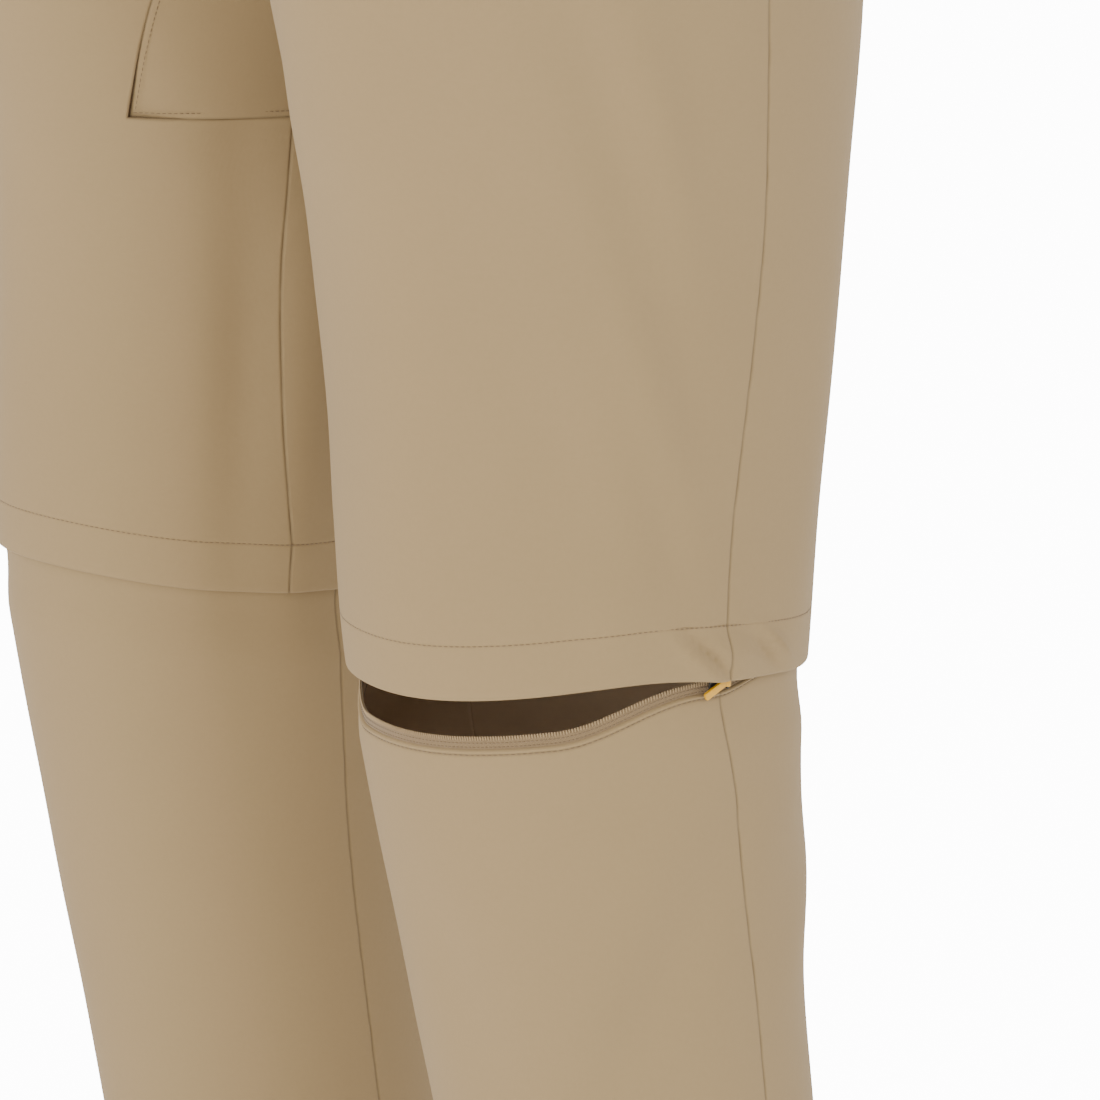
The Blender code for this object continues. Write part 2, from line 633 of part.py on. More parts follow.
def waist_button():
    """A round button with a raised rim on the lapped end."""
    radius = BUTTON_DIAMETER / 2
    rise = FOLDED_CLOTH + 2 * SEAM_GAP + BUTTON_LIFT
    turned = bmesh.new()
    chain = [turned.verts.new((r * radius, 0, h * BUTTON_THICK)) for r, h in BUTTON_PROFILE]
    edges = [turned.edges.new(pair) for pair in zip(chain, chain[1:])]
    bmesh.ops.spin(turned, geom=chain + edges, axis=(0, 0, 1), cent=(0, 0, 0),
                   angle=2 * math.pi, steps=BUTTON_SIDES)
    bmesh.ops.remove_doubles(turned, verts=turned.verts, dist=1e-6)
    bmesh.ops.recalc_face_normals(turned, faces=turned.faces)
    centre, normal = on_waist_lap(rise)
    turn = normal.to_track_quat("Z", "Y").to_matrix().to_4x4()
    turned.transform(Matrix.Translation(centre) @ turn)
    mesh = bpy.data.meshes.new("waist_button")
    turned.to_mesh(mesh)
    turned.free()
    return finish(add("waist_button", mesh), BROWN_PLASTIC, 0.45)


def slider_frame():
    """Axes at the slider: forward along the zip to its open side, up across it, and out."""
    z = float(zip_line(1, np.array(SLIDER_T))) + SLIDER_RISE
    middle = Vector(layer(1, SLIDER_T, z, float(lower_inset(z)) + TAPE / 2))
    near = SLIDER_WIDTH / girth(KNEE_HEM_Z) / 2
    ahead = Vector(garment(1, SLIDER_T - near, z) - garment(1, SLIDER_T + near, z)).normalized()
    out = Vector(garment(1, SLIDER_T, z) - layer(1, SLIDER_T, z, CLOTH)).normalized()
    up = out.cross(ahead).normalized()
    if up.z < 0:
        up.negate()
    slope = math.radians(SLIDER_SLOPE)
    forward = ahead * math.cos(slope) - up * math.sin(slope)
    across = up * math.cos(slope) + ahead * math.sin(slope)
    return middle, forward, across, out


def axes_matrix(origin, a, b, c):
    return Matrix.Translation(origin) @ Matrix((a, b, c)).transposed().to_4x4()


def block(shape, low, high):
    """Add a box to a bmesh from its two corners."""
    made = bmesh.ops.create_cube(shape, size=1.0)["verts"]
    for v in made:
        v.co = Vector([lo + (hi - lo) * (co + 0.5) for lo, hi, co in zip(low, high, v.co)])


def joined_blocks(name, boxes, place):
    """One body from boxes that share volume, each added by an exact union."""
    piece = None
    for low, high in boxes:
        shape = bmesh.new()
        block(shape, low, high)
        shape.transform(place)
        bmesh.ops.recalc_face_normals(shape, faces=shape.faces)
        mesh = bpy.data.meshes.new(name)
        shape.to_mesh(mesh)
        shape.free()
        if piece is None:
            piece = add(name, mesh)
            continue
        part = add(name + "_part", mesh)
        part.hide_render = True
        part.display_type = "WIRE"
        union = piece.modifiers.new("joined", "BOOLEAN")
        union.operation = "UNION"
        union.object = part
    return piece


def zip_slider():
    """Two plates, the post between them and the bridge that holds the pull tab."""
    long, wide, post = SLIDER_LENGTH / 2, SLIDER_WIDTH / 2, POST_WIDTH / 2
    low_leg, high_leg = -BRIDGE_DROP - BRIDGE_SPAN / 2, -BRIDGE_DROP + BRIDGE_SPAN / 2
    bar_back, bar_front = -BRIDGE_BACK - BAR_RADIUS, -BRIDGE_BACK + BAR_RADIUS
    foot, crown = SLIDER_FACE - WELD, BAR_OUT + BAR_RADIUS
    boxes = [
        ((-long, -wide, CHANNEL), (long, wide, SLIDER_FACE)),
        ((-long, -wide, -SLIDER_FACE), (long, wide, -CHANNEL)),
        ((long - POST_LENGTH, -post, -CHANNEL - WELD), (long - WELD, post, CHANNEL + WELD)),
        ((bar_back, low_leg, foot), (bar_front, low_leg + BRIDGE_LEG, crown)),
        ((bar_back, high_leg - BRIDGE_LEG, foot), (bar_front, high_leg, crown)),
        ((bar_back, low_leg + WELD, BAR_OUT - BAR_RADIUS), (bar_front, high_leg - WELD, crown)),
    ]
    piece = joined_blocks("left_zip_slider", boxes, axes_matrix(*slider_frame()))
    return finish(piece, DARK_METAL, 0.4, 0.8)


def hinge_place():
    """Centre of the bridge's bar, and the axes there: along the tab, along the bar and out."""
    middle, forward, across, out = slider_frame()
    return middle - forward * BRIDGE_BACK - across * BRIDGE_DROP + out * BAR_OUT, forward, across, out


def eye_ring(shape, half):
    """A short tube about the Y axis that goes round the bar."""
    sides = 12
    rings = []
    for radius, y in ((EYE_OUTER, -half), (EYE_OUTER, half), (EYE_INNER, half), (EYE_INNER, -half)):
        turns = [2 * math.pi * k / sides for k in range(sides)]
        rings.append([shape.verts.new((radius * math.cos(a), y, radius * math.sin(a))) for a in turns])
    for ring, after in zip(rings, rings[1:] + rings[:1]):
        for k in range(sides):
            n = (k + 1) % sides
            shape.faces.new((ring[k], ring[n], after[n], after[k]))


def tab_plate(shape, half):
    """The flat tab, turned a little about its neck as it hangs."""
    skew = math.radians(-TAB_SKEW)
    wide = TAB_WIDTH / 2
    neck = [(EYE_OUTER - WELD, half), (EYE_OUTER - WELD, -half)]
    blade = [
        (TAB_NECK, -wide),
        (TAB_LENGTH - TAB_CORNER, -wide),
        (TAB_LENGTH, -wide + TAB_CORNER),
        (TAB_LENGTH, wide - TAB_CORNER),
        (TAB_LENGTH - TAB_CORNER, wide),
        (TAB_NECK, wide),
    ]
    turned = [(TAB_NECK + (x - TAB_NECK) * math.cos(skew) - y * math.sin(skew),
               y * math.cos(skew) + (x - TAB_NECK) * math.sin(skew)) for x, y in blade]
    outline = [shape.verts.new((x, y, -TAB_THICK / 2)) for x, y in neck + turned]
    base = shape.faces.new(outline)
    grown = bmesh.ops.extrude_face_region(shape, geom=[base])["geom"]
    raised = [v for v in grown if isinstance(v, bmesh.types.BMVert)]
    bmesh.ops.translate(shape, vec=(0, 0, TAB_THICK), verts=raised)


def pull_tab():
    """A flat tab with an eye round the bridge's bar; it turns about that bar."""
    half = BRIDGE_SPAN / 2 - BRIDGE_LEG - SEAM_GAP
    place = axes_matrix(*hinge_place())
    pieces = []
    for name, make in (("left_pull_tab", eye_ring), ("tab_plate", tab_plate)):
        shape = bmesh.new()
        make(shape, half)
        bmesh.ops.recalc_face_normals(shape, faces=shape.faces)
        shape.transform(place)
        mesh = bpy.data.meshes.new(name)
        shape.to_mesh(mesh)
        shape.free()
        pieces.append(add(name, mesh))
    tab, plate = pieces
    plate.hide_render = True
    plate.display_type = "WIRE"
    union = tab.modifiers.new("joined", "BOOLEAN")
    union.operation = "UNION"
    union.object = plate
    return finish(tab, YELLOW, 0.4)


for old in list(bpy.data.objects):
    bpy.data.objects.remove(old)

SIDES = (("left", 1), ("right", -1))
for word, side in SIDES:
    shorts_panel(word + "_shorts_front", side, back=False)
    shorts_panel(word + "_shorts_back", side, back=True)
    knee_band(word + "_knee_band", side)
    knee_zip(side)
    lower_panel(word + "_lower_front", side, back=False)
    lower_panel(word + "_lower_back", side, back=True)
    ankle_band(word + "_ankle_band", side)
gusset()
waistband()
fly_flap()
waist_button()
zip_slider()
pull_tab()
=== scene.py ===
"""Zip-off trousers, filled out as on a wearer and hanging from the waist.

Metres, +Z up. The front faces -Y and the wearer's left leg is at +X. Every cloth piece
lies on one garment surface. A point on it has a side, a girth share t and a height z:
t runs from 0 at the inner leg round the front (0.25), the outer side (0.5) and the
back (0.75) to 1. Above the crotch 0 and 1 are the centre seams.
"""
import math

import bmesh
import bpy
import numpy as np
from mathutils import Matrix, Vector


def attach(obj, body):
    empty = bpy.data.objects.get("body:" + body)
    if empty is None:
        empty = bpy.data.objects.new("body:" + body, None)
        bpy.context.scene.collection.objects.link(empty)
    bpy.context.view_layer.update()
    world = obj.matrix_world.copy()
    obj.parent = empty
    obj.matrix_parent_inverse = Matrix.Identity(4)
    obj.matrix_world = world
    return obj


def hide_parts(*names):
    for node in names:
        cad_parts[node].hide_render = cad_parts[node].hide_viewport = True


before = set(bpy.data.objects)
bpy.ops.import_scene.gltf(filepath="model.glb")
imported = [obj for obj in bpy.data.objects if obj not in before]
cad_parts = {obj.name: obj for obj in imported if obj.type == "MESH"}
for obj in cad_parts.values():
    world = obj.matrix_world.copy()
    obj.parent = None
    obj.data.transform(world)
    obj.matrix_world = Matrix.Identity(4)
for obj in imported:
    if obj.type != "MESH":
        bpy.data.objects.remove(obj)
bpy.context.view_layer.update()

# Camera
# It looks at the left knee from the front left, a little from above, with a long lens.
CAMERA_TURN = math.radians(50.0)
CAMERA_RISE = math.radians(14.0)
CAMERA_DISTANCE = 2.2
SCALE_AT_KNEE = 2650.0
PICTURE_SIZE = 1100
LEFT_KNEE = Vector((0.1145, 0.0, -0.515))
LEFT_KNEE_PIXEL = (567, 652)

right = Vector((math.cos(CAMERA_TURN), math.sin(CAMERA_TURN), 0.0))
back = Vector((right.y * math.cos(CAMERA_RISE), -right.x * math.cos(CAMERA_RISE), math.sin(CAMERA_RISE)))
up = back.cross(right)
off_right = (LEFT_KNEE_PIXEL[0] - PICTURE_SIZE / 2) / SCALE_AT_KNEE
off_down = (LEFT_KNEE_PIXEL[1] - PICTURE_SIZE / 2) / SCALE_AT_KNEE
lens = bpy.data.cameras.new("camera")
lens.sensor_width = 36.0
lens.lens = SCALE_AT_KNEE * CAMERA_DISTANCE * lens.sensor_width / PICTURE_SIZE


def placed(name, data):
    """A new object with this data, linked into the scene."""
    thing = bpy.data.objects.new(name, data)
    bpy.context.scene.collection.objects.link(thing)
    return thing


camera = placed("camera", lens)
place = LEFT_KNEE - right * off_right + up * off_down + back * CAMERA_DISTANCE
camera.matrix_world = Matrix.Translation(place) @ Matrix((right, up, back)).transposed().to_4x4()
bpy.context.scene.camera = camera

# Studio
# A white room lights everything softly. Large soft boxes stand round the camera and
# behind on the right, and a near white floor lies below the ankle hems.
ROOM_LIGHT = 1.05
SOFT_BOXES = (
    ("key", (2.6, -0.6, 1.1), 1.8, 26.0),
    ("fill", (1.0, -2.8, 0.3), 2.0, 62.0),
    ("rim", (1.6, 2.4, 0.9), 1.6, 26.0),
    ("left", (-2.4, -1.9, 0.5), 1.8, 30.0),
)
BOX_AIM = Vector((0.05, 0.0, -0.50))
FLOOR_Z = -1.05
FLOOR_REACH = 30.0
FLOOR_WHITE = (0.93, 0.93, 0.93)
FLOOR_GLOW = 0.60
FLOOR_GLOW_SEEN = 12.0

room = bpy.data.worlds.new("room")
room.use_nodes = True
room.node_tree.nodes["Background"].inputs["Color"].default_value = (1.0, 1.0, 1.0, 1.0)
room.node_tree.nodes["Background"].inputs["Strength"].default_value = ROOM_LIGHT
bpy.context.scene.world = room
for name, spot, size, power in SOFT_BOXES:
    light = bpy.data.lights.new(name, "AREA")
    light.shape, light.size, light.energy = "DISK", size, power
    lamp = placed(name, light)
    lamp.location = spot
    lamp.rotation_euler = (BOX_AIM - lamp.location).to_track_quat("-Z", "Y").to_euler()

floor_mesh = bpy.data.meshes.new("floor")
corners = [(x * FLOOR_REACH, y * FLOOR_REACH, FLOOR_Z) for x, y in ((-1, -1), (1, -1), (1, 1), (-1, 1))]
floor_mesh.from_pydata(corners, [], [(0, 1, 2, 3)])
floor = placed("floor", floor_mesh)
floor_paint = bpy.data.materials.new("floor paint")
floor_paint.use_nodes = True
floor_shader = floor_paint.node_tree.nodes["Principled BSDF"]
floor_shader.inputs["Base Color"].default_value = (*FLOOR_WHITE, 1.0)
floor_shader.inputs["Roughness"].default_value = 0.9
floor_shader.inputs["Specular IOR Level"].default_value = 0.1
floor_shader.inputs["Emission Color"].default_value = (1.0, 1.0, 1.0, 1.0)
seen = floor_paint.node_tree.nodes.new("ShaderNodeLightPath")
glow = floor_paint.node_tree.nodes.new("ShaderNodeMapRange")
glow.inputs["To Min"].default_value = FLOOR_GLOW
glow.inputs["To Max"].default_value = FLOOR_GLOW_SEEN
floor_paint.node_tree.links.new(seen.outputs["Is Camera Ray"], glow.inputs["Value"])
floor_paint.node_tree.links.new(glow.outputs["Result"], floor_shader.inputs["Emission Strength"])
floor_mesh.materials.append(floor_paint)

# Front and back panels of the shorts part
# Four panels of smooth stretch cloth make the shorts part, two for each leg. They are
# sewn with the edges turned in, so every seam shows as a thin groove in the cloth.
CLOTH = 0.0011
SEAM_GAP = 0.0003
WAISTBAND_TOP = 0.020
WAISTBAND_FOOT = -0.020
CROTCH_Z = -0.250
GUSSET_TIP_Z = -0.195
GUSSET_FOOT_Z = -0.325
KNEE_STITCH_Z = -0.4965
KNEE_HEM_Z = -0.517
ANKLE_STITCH_Z = -0.975
ANKLE_HEM_Z = -1.000
LEG_COLUMNS = ("z", "centre_x", "centre_y", "half_width", "half_depth")
LEG_SECTIONS = (
    (-0.130, 0.0960, 0.0100, 0.0960, 0.1240),
    (-0.250, 0.0960, 0.0110, 0.0958, 0.1245),
    (-0.300, 0.0990, 0.0133, 0.0920, 0.1180),
    (-0.340, 0.1020, 0.0150, 0.0877, 0.1110),
    (-0.380, 0.1050, 0.0139, 0.0848, 0.1060),
    (-0.420, 0.1080, 0.0118, 0.0824, 0.1017),
    (-0.460, 0.1110, 0.0083, 0.0806, 0.0983),
    (-0.517, 0.1145, 0.0058, 0.0777, 0.0936),
    (-0.540, 0.1145, 0.0071, 0.0752, 0.0906),
    (-0.580, 0.1150, 0.0109, 0.0726, 0.0865),
    (-0.620, 0.1155, 0.0155, 0.0699, 0.0823),
    (-0.660, 0.1160, 0.0212, 0.0684, 0.0795),
    (-0.700, 0.1165, 0.0280, 0.0668, 0.0775),
    (-0.780, 0.1170, 0.0400, 0.0650, 0.0755),
    (-0.880, 0.1175, 0.0530, 0.0622, 0.0715),
    (-1.000, 0.1180, 0.0640, 0.0600, 0.0680),
)
TORSO_COLUMNS = ("z", "half_width", "front", "back")
TORSO_SECTIONS = (
    (0.020, 0.1620, 0.1040, 0.1180),
    (-0.020, 0.1645, 0.1060, 0.1220),
    (-0.080, 0.1740, 0.1110, 0.1340),
    (-0.160, 0.1870, 0.1160, 0.1440),
    (-0.250, 0.1920, 0.1180, 0.1440),
)
TORSO_BLEND = 0.160
CROTCH_OVERLAP = 0.42
CROTCH_ROUND = 0.025
CROTCH_ROUND_FADE = 0.150
TILT_FRONT = math.tan(math.radians(3.0))
TILT_OUTER = math.tan(math.radians(3.5))
TILT_COLUMNS = ("z", "share")
TILT_SHARES = (
    (0.020, 0.0),
    (-0.250, 0.0),
    (-0.460, 1.0),
    (-0.540, 1.0),
    (-0.850, 0.0),
    (-1.000, 0.0),
)
WAVE_COLUMNS = ("side", "t", "reach", "rise")
HEM_WAVES = (
    (1, 0.290, 0.090, -0.0035),
    (1, 0.455, 0.065, 0.0028),
    (1, 0.620, 0.070, -0.0030),
    (-1, 0.200, 0.120, 0.0045),
)
WAVE_HEIGHT = 0.060
INSEAM_T = 0.053
INSEAM_SWING = -0.018
INSEAM_BOW = 0.013
OUTSEAM_T = 0.525
OUTSEAM_SWING = -0.017
SWING_FROM_Z = -0.330
GUSSET_FRONT_T = 0.155
GUSSET_BACK_T = -0.140
GUSSET_ROUND = 0.45
GUSSET_STITCH = 0.0024
GUSSET_THREAD_OUT = 0.00015

# Soft folds and creases: side, girth share and height of the middle, length, width,
# lean from the vertical in degrees, and how far the cloth stands out
FOLD_COLUMNS = ("side", "t", "z", "length", "width", "lean", "out")
FOLDS = (
    (1, 0.455, -0.300, 0.055, 0.009, -12.0, 0.0028),
    (1, 0.425, -0.300, 0.060, 0.012, -12.0, -0.0024),
    (1, 0.442, -0.393, 0.050, 0.009, -16.0, 0.0032),
    (1, 0.440, -0.440, 0.075, 0.018, -22.0, 0.0026),
    (1, 0.385, -0.405, 0.060, 0.022, -10.0, -0.0032),
    (1, 0.458, -0.457, 0.030, 0.009, -16.0, -0.0028),
    (1, 0.425, -0.490, 0.022, 0.012, -10.0, 0.0020),
    (1, 0.285, -0.360, 0.120, 0.028, 4.0, 0.0024),
    (1, 0.165, -0.310, 0.070, 0.018, 20.0, -0.0026),
    (1, 0.345, -0.400, 0.070, 0.022, 6.0, -0.0022),
    (1, 0.600, -0.420, 0.090, 0.020, 8.0, 0.0022),
    (1, 0.700, -0.330, 0.090, 0.022, -14.0, 0.0026),
    (1, 0.440, -0.640, 0.060, 0.014, 30.0, -0.0036),
    (1, 0.275, -0.640, 0.050, 0.018, -12.0, -0.0028),
    (1, 0.425, -0.720, 0.050, 0.014, 18.0, -0.0028),
    (1, 0.330, -0.760, 0.110, 0.026, -8.0, 0.0022),
    (1, 0.680, -0.600, 0.060, 0.020, 52.0, 0.0030),
    (1, 0.740, -0.860, 0.080, 0.024, 38.0, 0.0026),
    (-1, 0.080, -0.420, 0.100, 0.012, 3.0, -0.0034),
    (-1, 0.035, -0.440, 0.090, 0.010, 3.0, 0.0020),
    (-1, 0.250, -0.360, 0.120, 0.030, -5.0, 0.0020),
    (-1, 0.450, -0.420, 0.090, 0.024, 12.0, 0.0024),
    (-1, 0.680, -0.360, 0.090, 0.022, 16.0, 0.0026),
    (-1, 0.300, -0.700, 0.110, 0.028, 6.0, 0.0022),
    (-1, 0.700, -0.610, 0.060, 0.020, -48.0, 0.0030),
    (-1, 0.620, -0.850, 0.090, 0.024, -30.0, 0.0026),
)
CREASES = (
    (1, 0.483, -0.5085, 0.012, 0.0022, -46.0, 0.0024),
    (1, 0.493, -0.5070, 0.012, 0.0017, -46.0, -0.0026),
    (1, 0.560, -0.5050, 0.012, 0.0022, -55.0, 0.0028),
    (1, 0.546, -0.5070, 0.011, 0.0020, -55.0, -0.0021),
    (1, 0.520, -0.4915, 0.006, 0.0016, -35.0, 0.0013),
)
SEAM_DEPTH = 0.0004
SEAM_WIDTH = 0.00050
PUCKER = 0.00013
PUCKER_REACH = 0.007
STITCH_DIP = -0.00022
GRID = 0.0040
GRID_CLOSER = 13.0
GRID_REACH = 0.0022
NORMAL_STEP = 0.0001
SHARP_ANGLE = math.radians(50.0)


def smooth(a):
    """A soft step from 0 to 1 as a goes from 0 to 1."""
    a = np.clip(a, 0.0, 1.0)
    return a * a * (3.0 - 2.0 * a)


def column(rows, names, name, z):
    """One column of a section table at height z, with a cubic through its rows."""
    table = np.array(rows)[::-1]
    heights, values = table[:, 0], table[:, names.index(name)]
    slopes = np.gradient(values, heights)
    z = np.clip(np.asarray(z, float), heights[0], heights[-1])
    i = np.clip(np.searchsorted(heights, z) - 1, 0, len(heights) - 2)
    step = heights[i + 1] - heights[i]
    a = (z - heights[i]) / step
    rise = values[i + 1] - values[i]
    bend = (1 - a) * (slopes[i] * step - rise) - a * (slopes[i + 1] * step - rise)
    return values[i] + a * rise + a * (1 - a) * bend


def leg(name, z):
    return column(LEG_SECTIONS, LEG_COLUMNS, name, z)


def torso(name, z):
    return column(TORSO_SECTIONS, TORSO_COLUMNS, name, z)


def girth(z):
    """Length once round a leg at height z."""
    return 2 * math.pi * np.sqrt((leg("half_width", z) ** 2 + leg("half_depth", z) ** 2) / 2)


def folds_out(table, side, t, z):
    """The sum of soft ridges, each falling off along and beside its own line."""
    out = np.zeros(np.broadcast(t, z).shape)
    for row in table:
        fold = dict(zip(FOLD_COLUMNS, row))
        if fold["side"] == side:
            lean = math.radians(fold["lean"])
            across, rise = (t - fold["t"]) * girth(fold["z"]), z - fold["z"]
            along = rise * math.cos(lean) + across * math.sin(lean)
            beside = across * math.cos(lean) - rise * math.sin(lean)
            out += fold["out"] * np.exp(-(along / fold["length"]) ** 2 - (beside / fold["width"]) ** 2)
    return out


def hem_wave(side, t, z):
    """How far the cloth round the knee is lifted or let down."""
    rise = np.zeros(np.broadcast(t, z).shape)
    for row in HEM_WAVES:
        wave = dict(zip(WAVE_COLUMNS, row))
        if wave["side"] == side:
            rise += wave["rise"] * np.exp(-((t - wave["t"]) / wave["reach"]) ** 2)
    return rise * np.exp(-((z - KNEE_HEM_Z) / WAVE_HEIGHT) ** 2)


def seam_swing(z):
    """Share of a side seam's swing at height z."""
    return smooth((SWING_FROM_Z - z) / (SWING_FROM_Z - KNEE_STITCH_Z))


def garment(side, t, z):
    """Leg ovals that lap and blend into a torso oval above the crotch, with the folds laid on."""
    t, z = np.broadcast_arrays(np.asarray(t, float), np.asarray(z, float))
    t = np.where(t < 0, t + 1, np.where(t > 1, t - 1, t))
    centre_x, centre_y = leg("centre_x", z), leg("centre_y", z)
    half_width, half_depth = leg("half_width", z), leg("half_depth", z)
    above = np.clip(z - CROTCH_Z, 0, None)
    inner = np.where(above > 0, centre_x + CROTCH_OVERLAP * above, half_width)
    cut = np.arccos(np.clip(centre_x / inner, 0, 1)) * (above > 0)
    angle = -math.pi + cut + (2 * math.pi - 2 * cut) * t
    reach = np.where(np.cos(angle) < 0, inner, half_width)
    leg_x = centre_x + reach * np.cos(angle)
    leg_y = centre_y + half_depth * np.sin(angle)
    turn = -math.pi / 2 + math.pi * t
    torso_x = torso("half_width", z) * np.cos(turn)
    depth = np.where(np.sin(turn) < 0, torso("front", z), torso("back", z))
    torso_y = depth * np.sin(turn)
    share = smooth(above / TORSO_BLEND)
    x = np.clip(leg_x + (torso_x - leg_x) * share, 0, None)
    y = leg_y + (torso_y - leg_y) * share
    fade = smooth((CROTCH_Z - z) / CROTCH_ROUND_FADE)
    rounding = np.clip(CROTCH_ROUND * (1 - share) * (1 - fade), 1e-6, None)
    x = np.sqrt(x * x + 2 * rounding * x * np.exp(-x / (2 * rounding)))
    out = folds_out(FOLDS, side, t, z)
    tilt = column(TILT_SHARES, TILT_COLUMNS, "share", z)
    height = z + tilt * (TILT_OUTER * (x - centre_x) - TILT_FRONT * (y - centre_y))
    height = height + hem_wave(side, t, z)
    return np.stack([side * (x + out * np.cos(angle)), y + out * np.sin(angle), height], -1)


def outward(side, t, z):
    """Unit normal of the garment surface, from points a tenth of a millimetre apart."""
    t, z = np.broadcast_arrays(np.asarray(t, float), np.asarray(z, float))
    closed = z > CROTCH_Z
    t_low = np.where(closed & (t >= 0), np.maximum(t - NORMAL_STEP, 0), t - NORMAL_STEP)
    t_high = np.where(closed & (t <= 1), np.minimum(t + NORMAL_STEP, 1), t + NORMAL_STEP)
    along = garment(side, t_high, z) - garment(side, t_low, z)
    rise = garment(side, t, z + NORMAL_STEP) - garment(side, t, z - NORMAL_STEP)
    normal = side * np.cross(along, rise)
    middle = np.abs(garment(side, t, z)[..., 0]) < 1e-5
    normal[..., 0] = np.where(middle, 0, normal[..., 0])
    return normal / np.linalg.norm(normal, axis=-1, keepdims=True)


def on_cloth(side, t, z, out=0.0):
    """Garment surface points moved out along the normal."""
    t, z = np.broadcast_arrays(np.asarray(t, float), np.asarray(z, float))
    return garment(side, t, z) + outward(side, t, z) * np.asarray(out, float)[..., None]


def spaced(start, end, gap, marks=(), reach=GRID_REACH, closer=GRID_CLOSER):
    """Samples about gap apart, and closer together near each mark."""
    x = np.linspace(start, end, 3000)
    density = np.ones_like(x)
    for mark in marks:
        density += (closer - 1) * np.exp(-((x - mark) / reach) ** 2)
    length = np.concatenate([[0], np.cumsum((density[1:] + density[:-1]) / 2 * np.diff(x))])
    count = max(2, int(np.ceil(abs(length[-1]) / gap)) + 1)
    return np.interp(np.linspace(0, 1, count), length / length[-1], x)


def wrapped(t):
    return t - np.round(t)


def gusset_climb(z):
    """0 at the gusset's tips and 1 at its foot."""
    return np.clip((GUSSET_TIP_Z - z) / (GUSSET_TIP_Z - GUSSET_FOOT_Z), 1e-5, 1)


def inseam_at(z):
    """Girth share of the inseam between the gusset's foot and the knee."""
    down = np.clip((GUSSET_FOOT_Z - z) / (GUSSET_FOOT_Z - KNEE_STITCH_Z), 0, 1)
    return INSEAM_T + INSEAM_SWING * seam_swing(z) + INSEAM_BOW * 4 * down * (1 - down)


def seam_distance(side, t, z):
    """Distance to the nearest seam of the shorts part."""
    round_leg = girth(z)
    outseam = np.abs(t - OUTSEAM_T - OUTSEAM_SWING * seam_swing(z)) * round_leg
    inseam = np.abs(wrapped(t - inseam_at(z))) * round_leg
    inseam = np.where(z > GUSSET_FOOT_Z, 1.0, inseam)
    climb = gusset_climb(z)
    edge = np.where(wrapped(t) > 0, GUSSET_FRONT_T * climb ** GUSSET_ROUND, GUSSET_BACK_T * climb)
    slanting = np.abs(wrapped(t) - edge) * round_leg
    slanting = np.where(z < GUSSET_FOOT_Z, 1.0, slanting)
    past = np.maximum(np.maximum(wrapped(t) - GUSSET_FRONT_T, GUSSET_BACK_T - wrapped(t)), 0) * round_leg
    foot = np.hypot(z - GUSSET_FOOT_Z, past)
    return np.minimum.reduce([outseam, inseam, slanting, foot])


def seam_relief(distance, run):
    """A groove along the seam, with faint puckers beside it that follow each other unevenly."""
    groove = -SEAM_DEPTH * np.exp(-(distance / SEAM_WIDTH) ** 2)
    ripple = np.sin(run * 410) + 0.7 * np.sin(run * 263 + 1.3) + 0.6 * np.sin(run * 157 + 0.4)
    beside = np.exp(-(distance / PUCKER_REACH) ** 2) * (1 - np.exp(-(distance / SEAM_WIDTH) ** 2))
    return groove + PUCKER * ripple * beside


def stitch_dip(distance):
    """The shallow dip that a row of stitches pulls into the cloth."""
    return STITCH_DIP * np.exp(-(distance / SEAM_WIDTH) ** 2)


def closed_shell(name, outer, inner, keep=None, round_tube=False, flip=False, seam=None, flat=None):
    """A thin wall: an outer and an inner grid of quads, joined by a rim wherever the cloth ends.

    seam is how deep each point lies in a seam, which the material paints as shade, and flat its place on the
    cut cloth in metres.
    """
    rows, columns = outer.shape[:2]
    cells = columns if round_tube else columns - 1
    keep = np.ones((rows - 1, cells), bool) if keep is None else keep
    r, c = np.nonzero(keep)
    after, here, below = (c + 1) % columns, r * columns, (r + 1) * columns
    ring = np.stack([here + c, here + after, below + after, below + c], -1)
    around = np.pad(keep, 1)
    if round_tube:
        around[1:-1, 0], around[1:-1, -1] = keep[:, -1], keep[:, 0]
    count = rows * columns
    rims = []
    for a, b, row, col in ((0, 1, -1, 0), (1, 2, 0, 1), (2, 3, 1, 0), (3, 0, 0, -1)):
        ends = ring[~around[r + 1 + row, c + 1 + col]]
        rims.append(np.stack([ends[:, b], ends[:, a], ends[:, a] + count, ends[:, b] + count], -1))
    faces = np.concatenate([ring, ring[:, ::-1] + count, *rims])
    if flip:
        faces = faces[:, ::-1]
    points = np.concatenate([outer.reshape(-1, 3), inner.reshape(-1, 3)])
    used = np.unique(faces)
    renumber = np.zeros(len(points), int)
    renumber[used] = np.arange(len(used))
    mesh = bpy.data.meshes.new(name)
    mesh.from_pydata(points[used].tolist(), [], renumber[faces].tolist())
    # Inner faces get material index 1, the painted-light inside copy of the cloth.
    inside = np.zeros(len(faces), int)
    inside[len(ring):2 * len(ring)] = 1
    mesh.polygons.foreach_set("material_index", inside)
    if seam is not None:
        depth = mesh.attributes.new("seam", "FLOAT", "POINT")
        depth.data.foreach_set("value", np.concatenate([seam.ravel(), 0 * seam.ravel()])[used].astype("f"))
    if flat is not None:
        lay_flat(mesh, np.concatenate([flat.reshape(-1, 2), flat.reshape(-1, 2)])[used])
    return smooth_piece(name, mesh)


def smooth_piece(name, mesh):
    """A new piece, shaded smooth apart from its sharp edges."""
    mesh.shade_smooth()
    mesh.set_sharp_from_angle(angle=SHARP_ANGLE)
    return placed(name, mesh)


def lay_flat(mesh, flat):
    """Store each point's place on the flat cloth as the UV map, in metres."""
    corners = np.empty(len(mesh.loops), int)
    mesh.loops.foreach_get("vertex_index", corners)
    layout = mesh.uv_layers.new(name="cloth")
    layout.data.foreach_set("uv", flat[corners].astype("f").ravel())


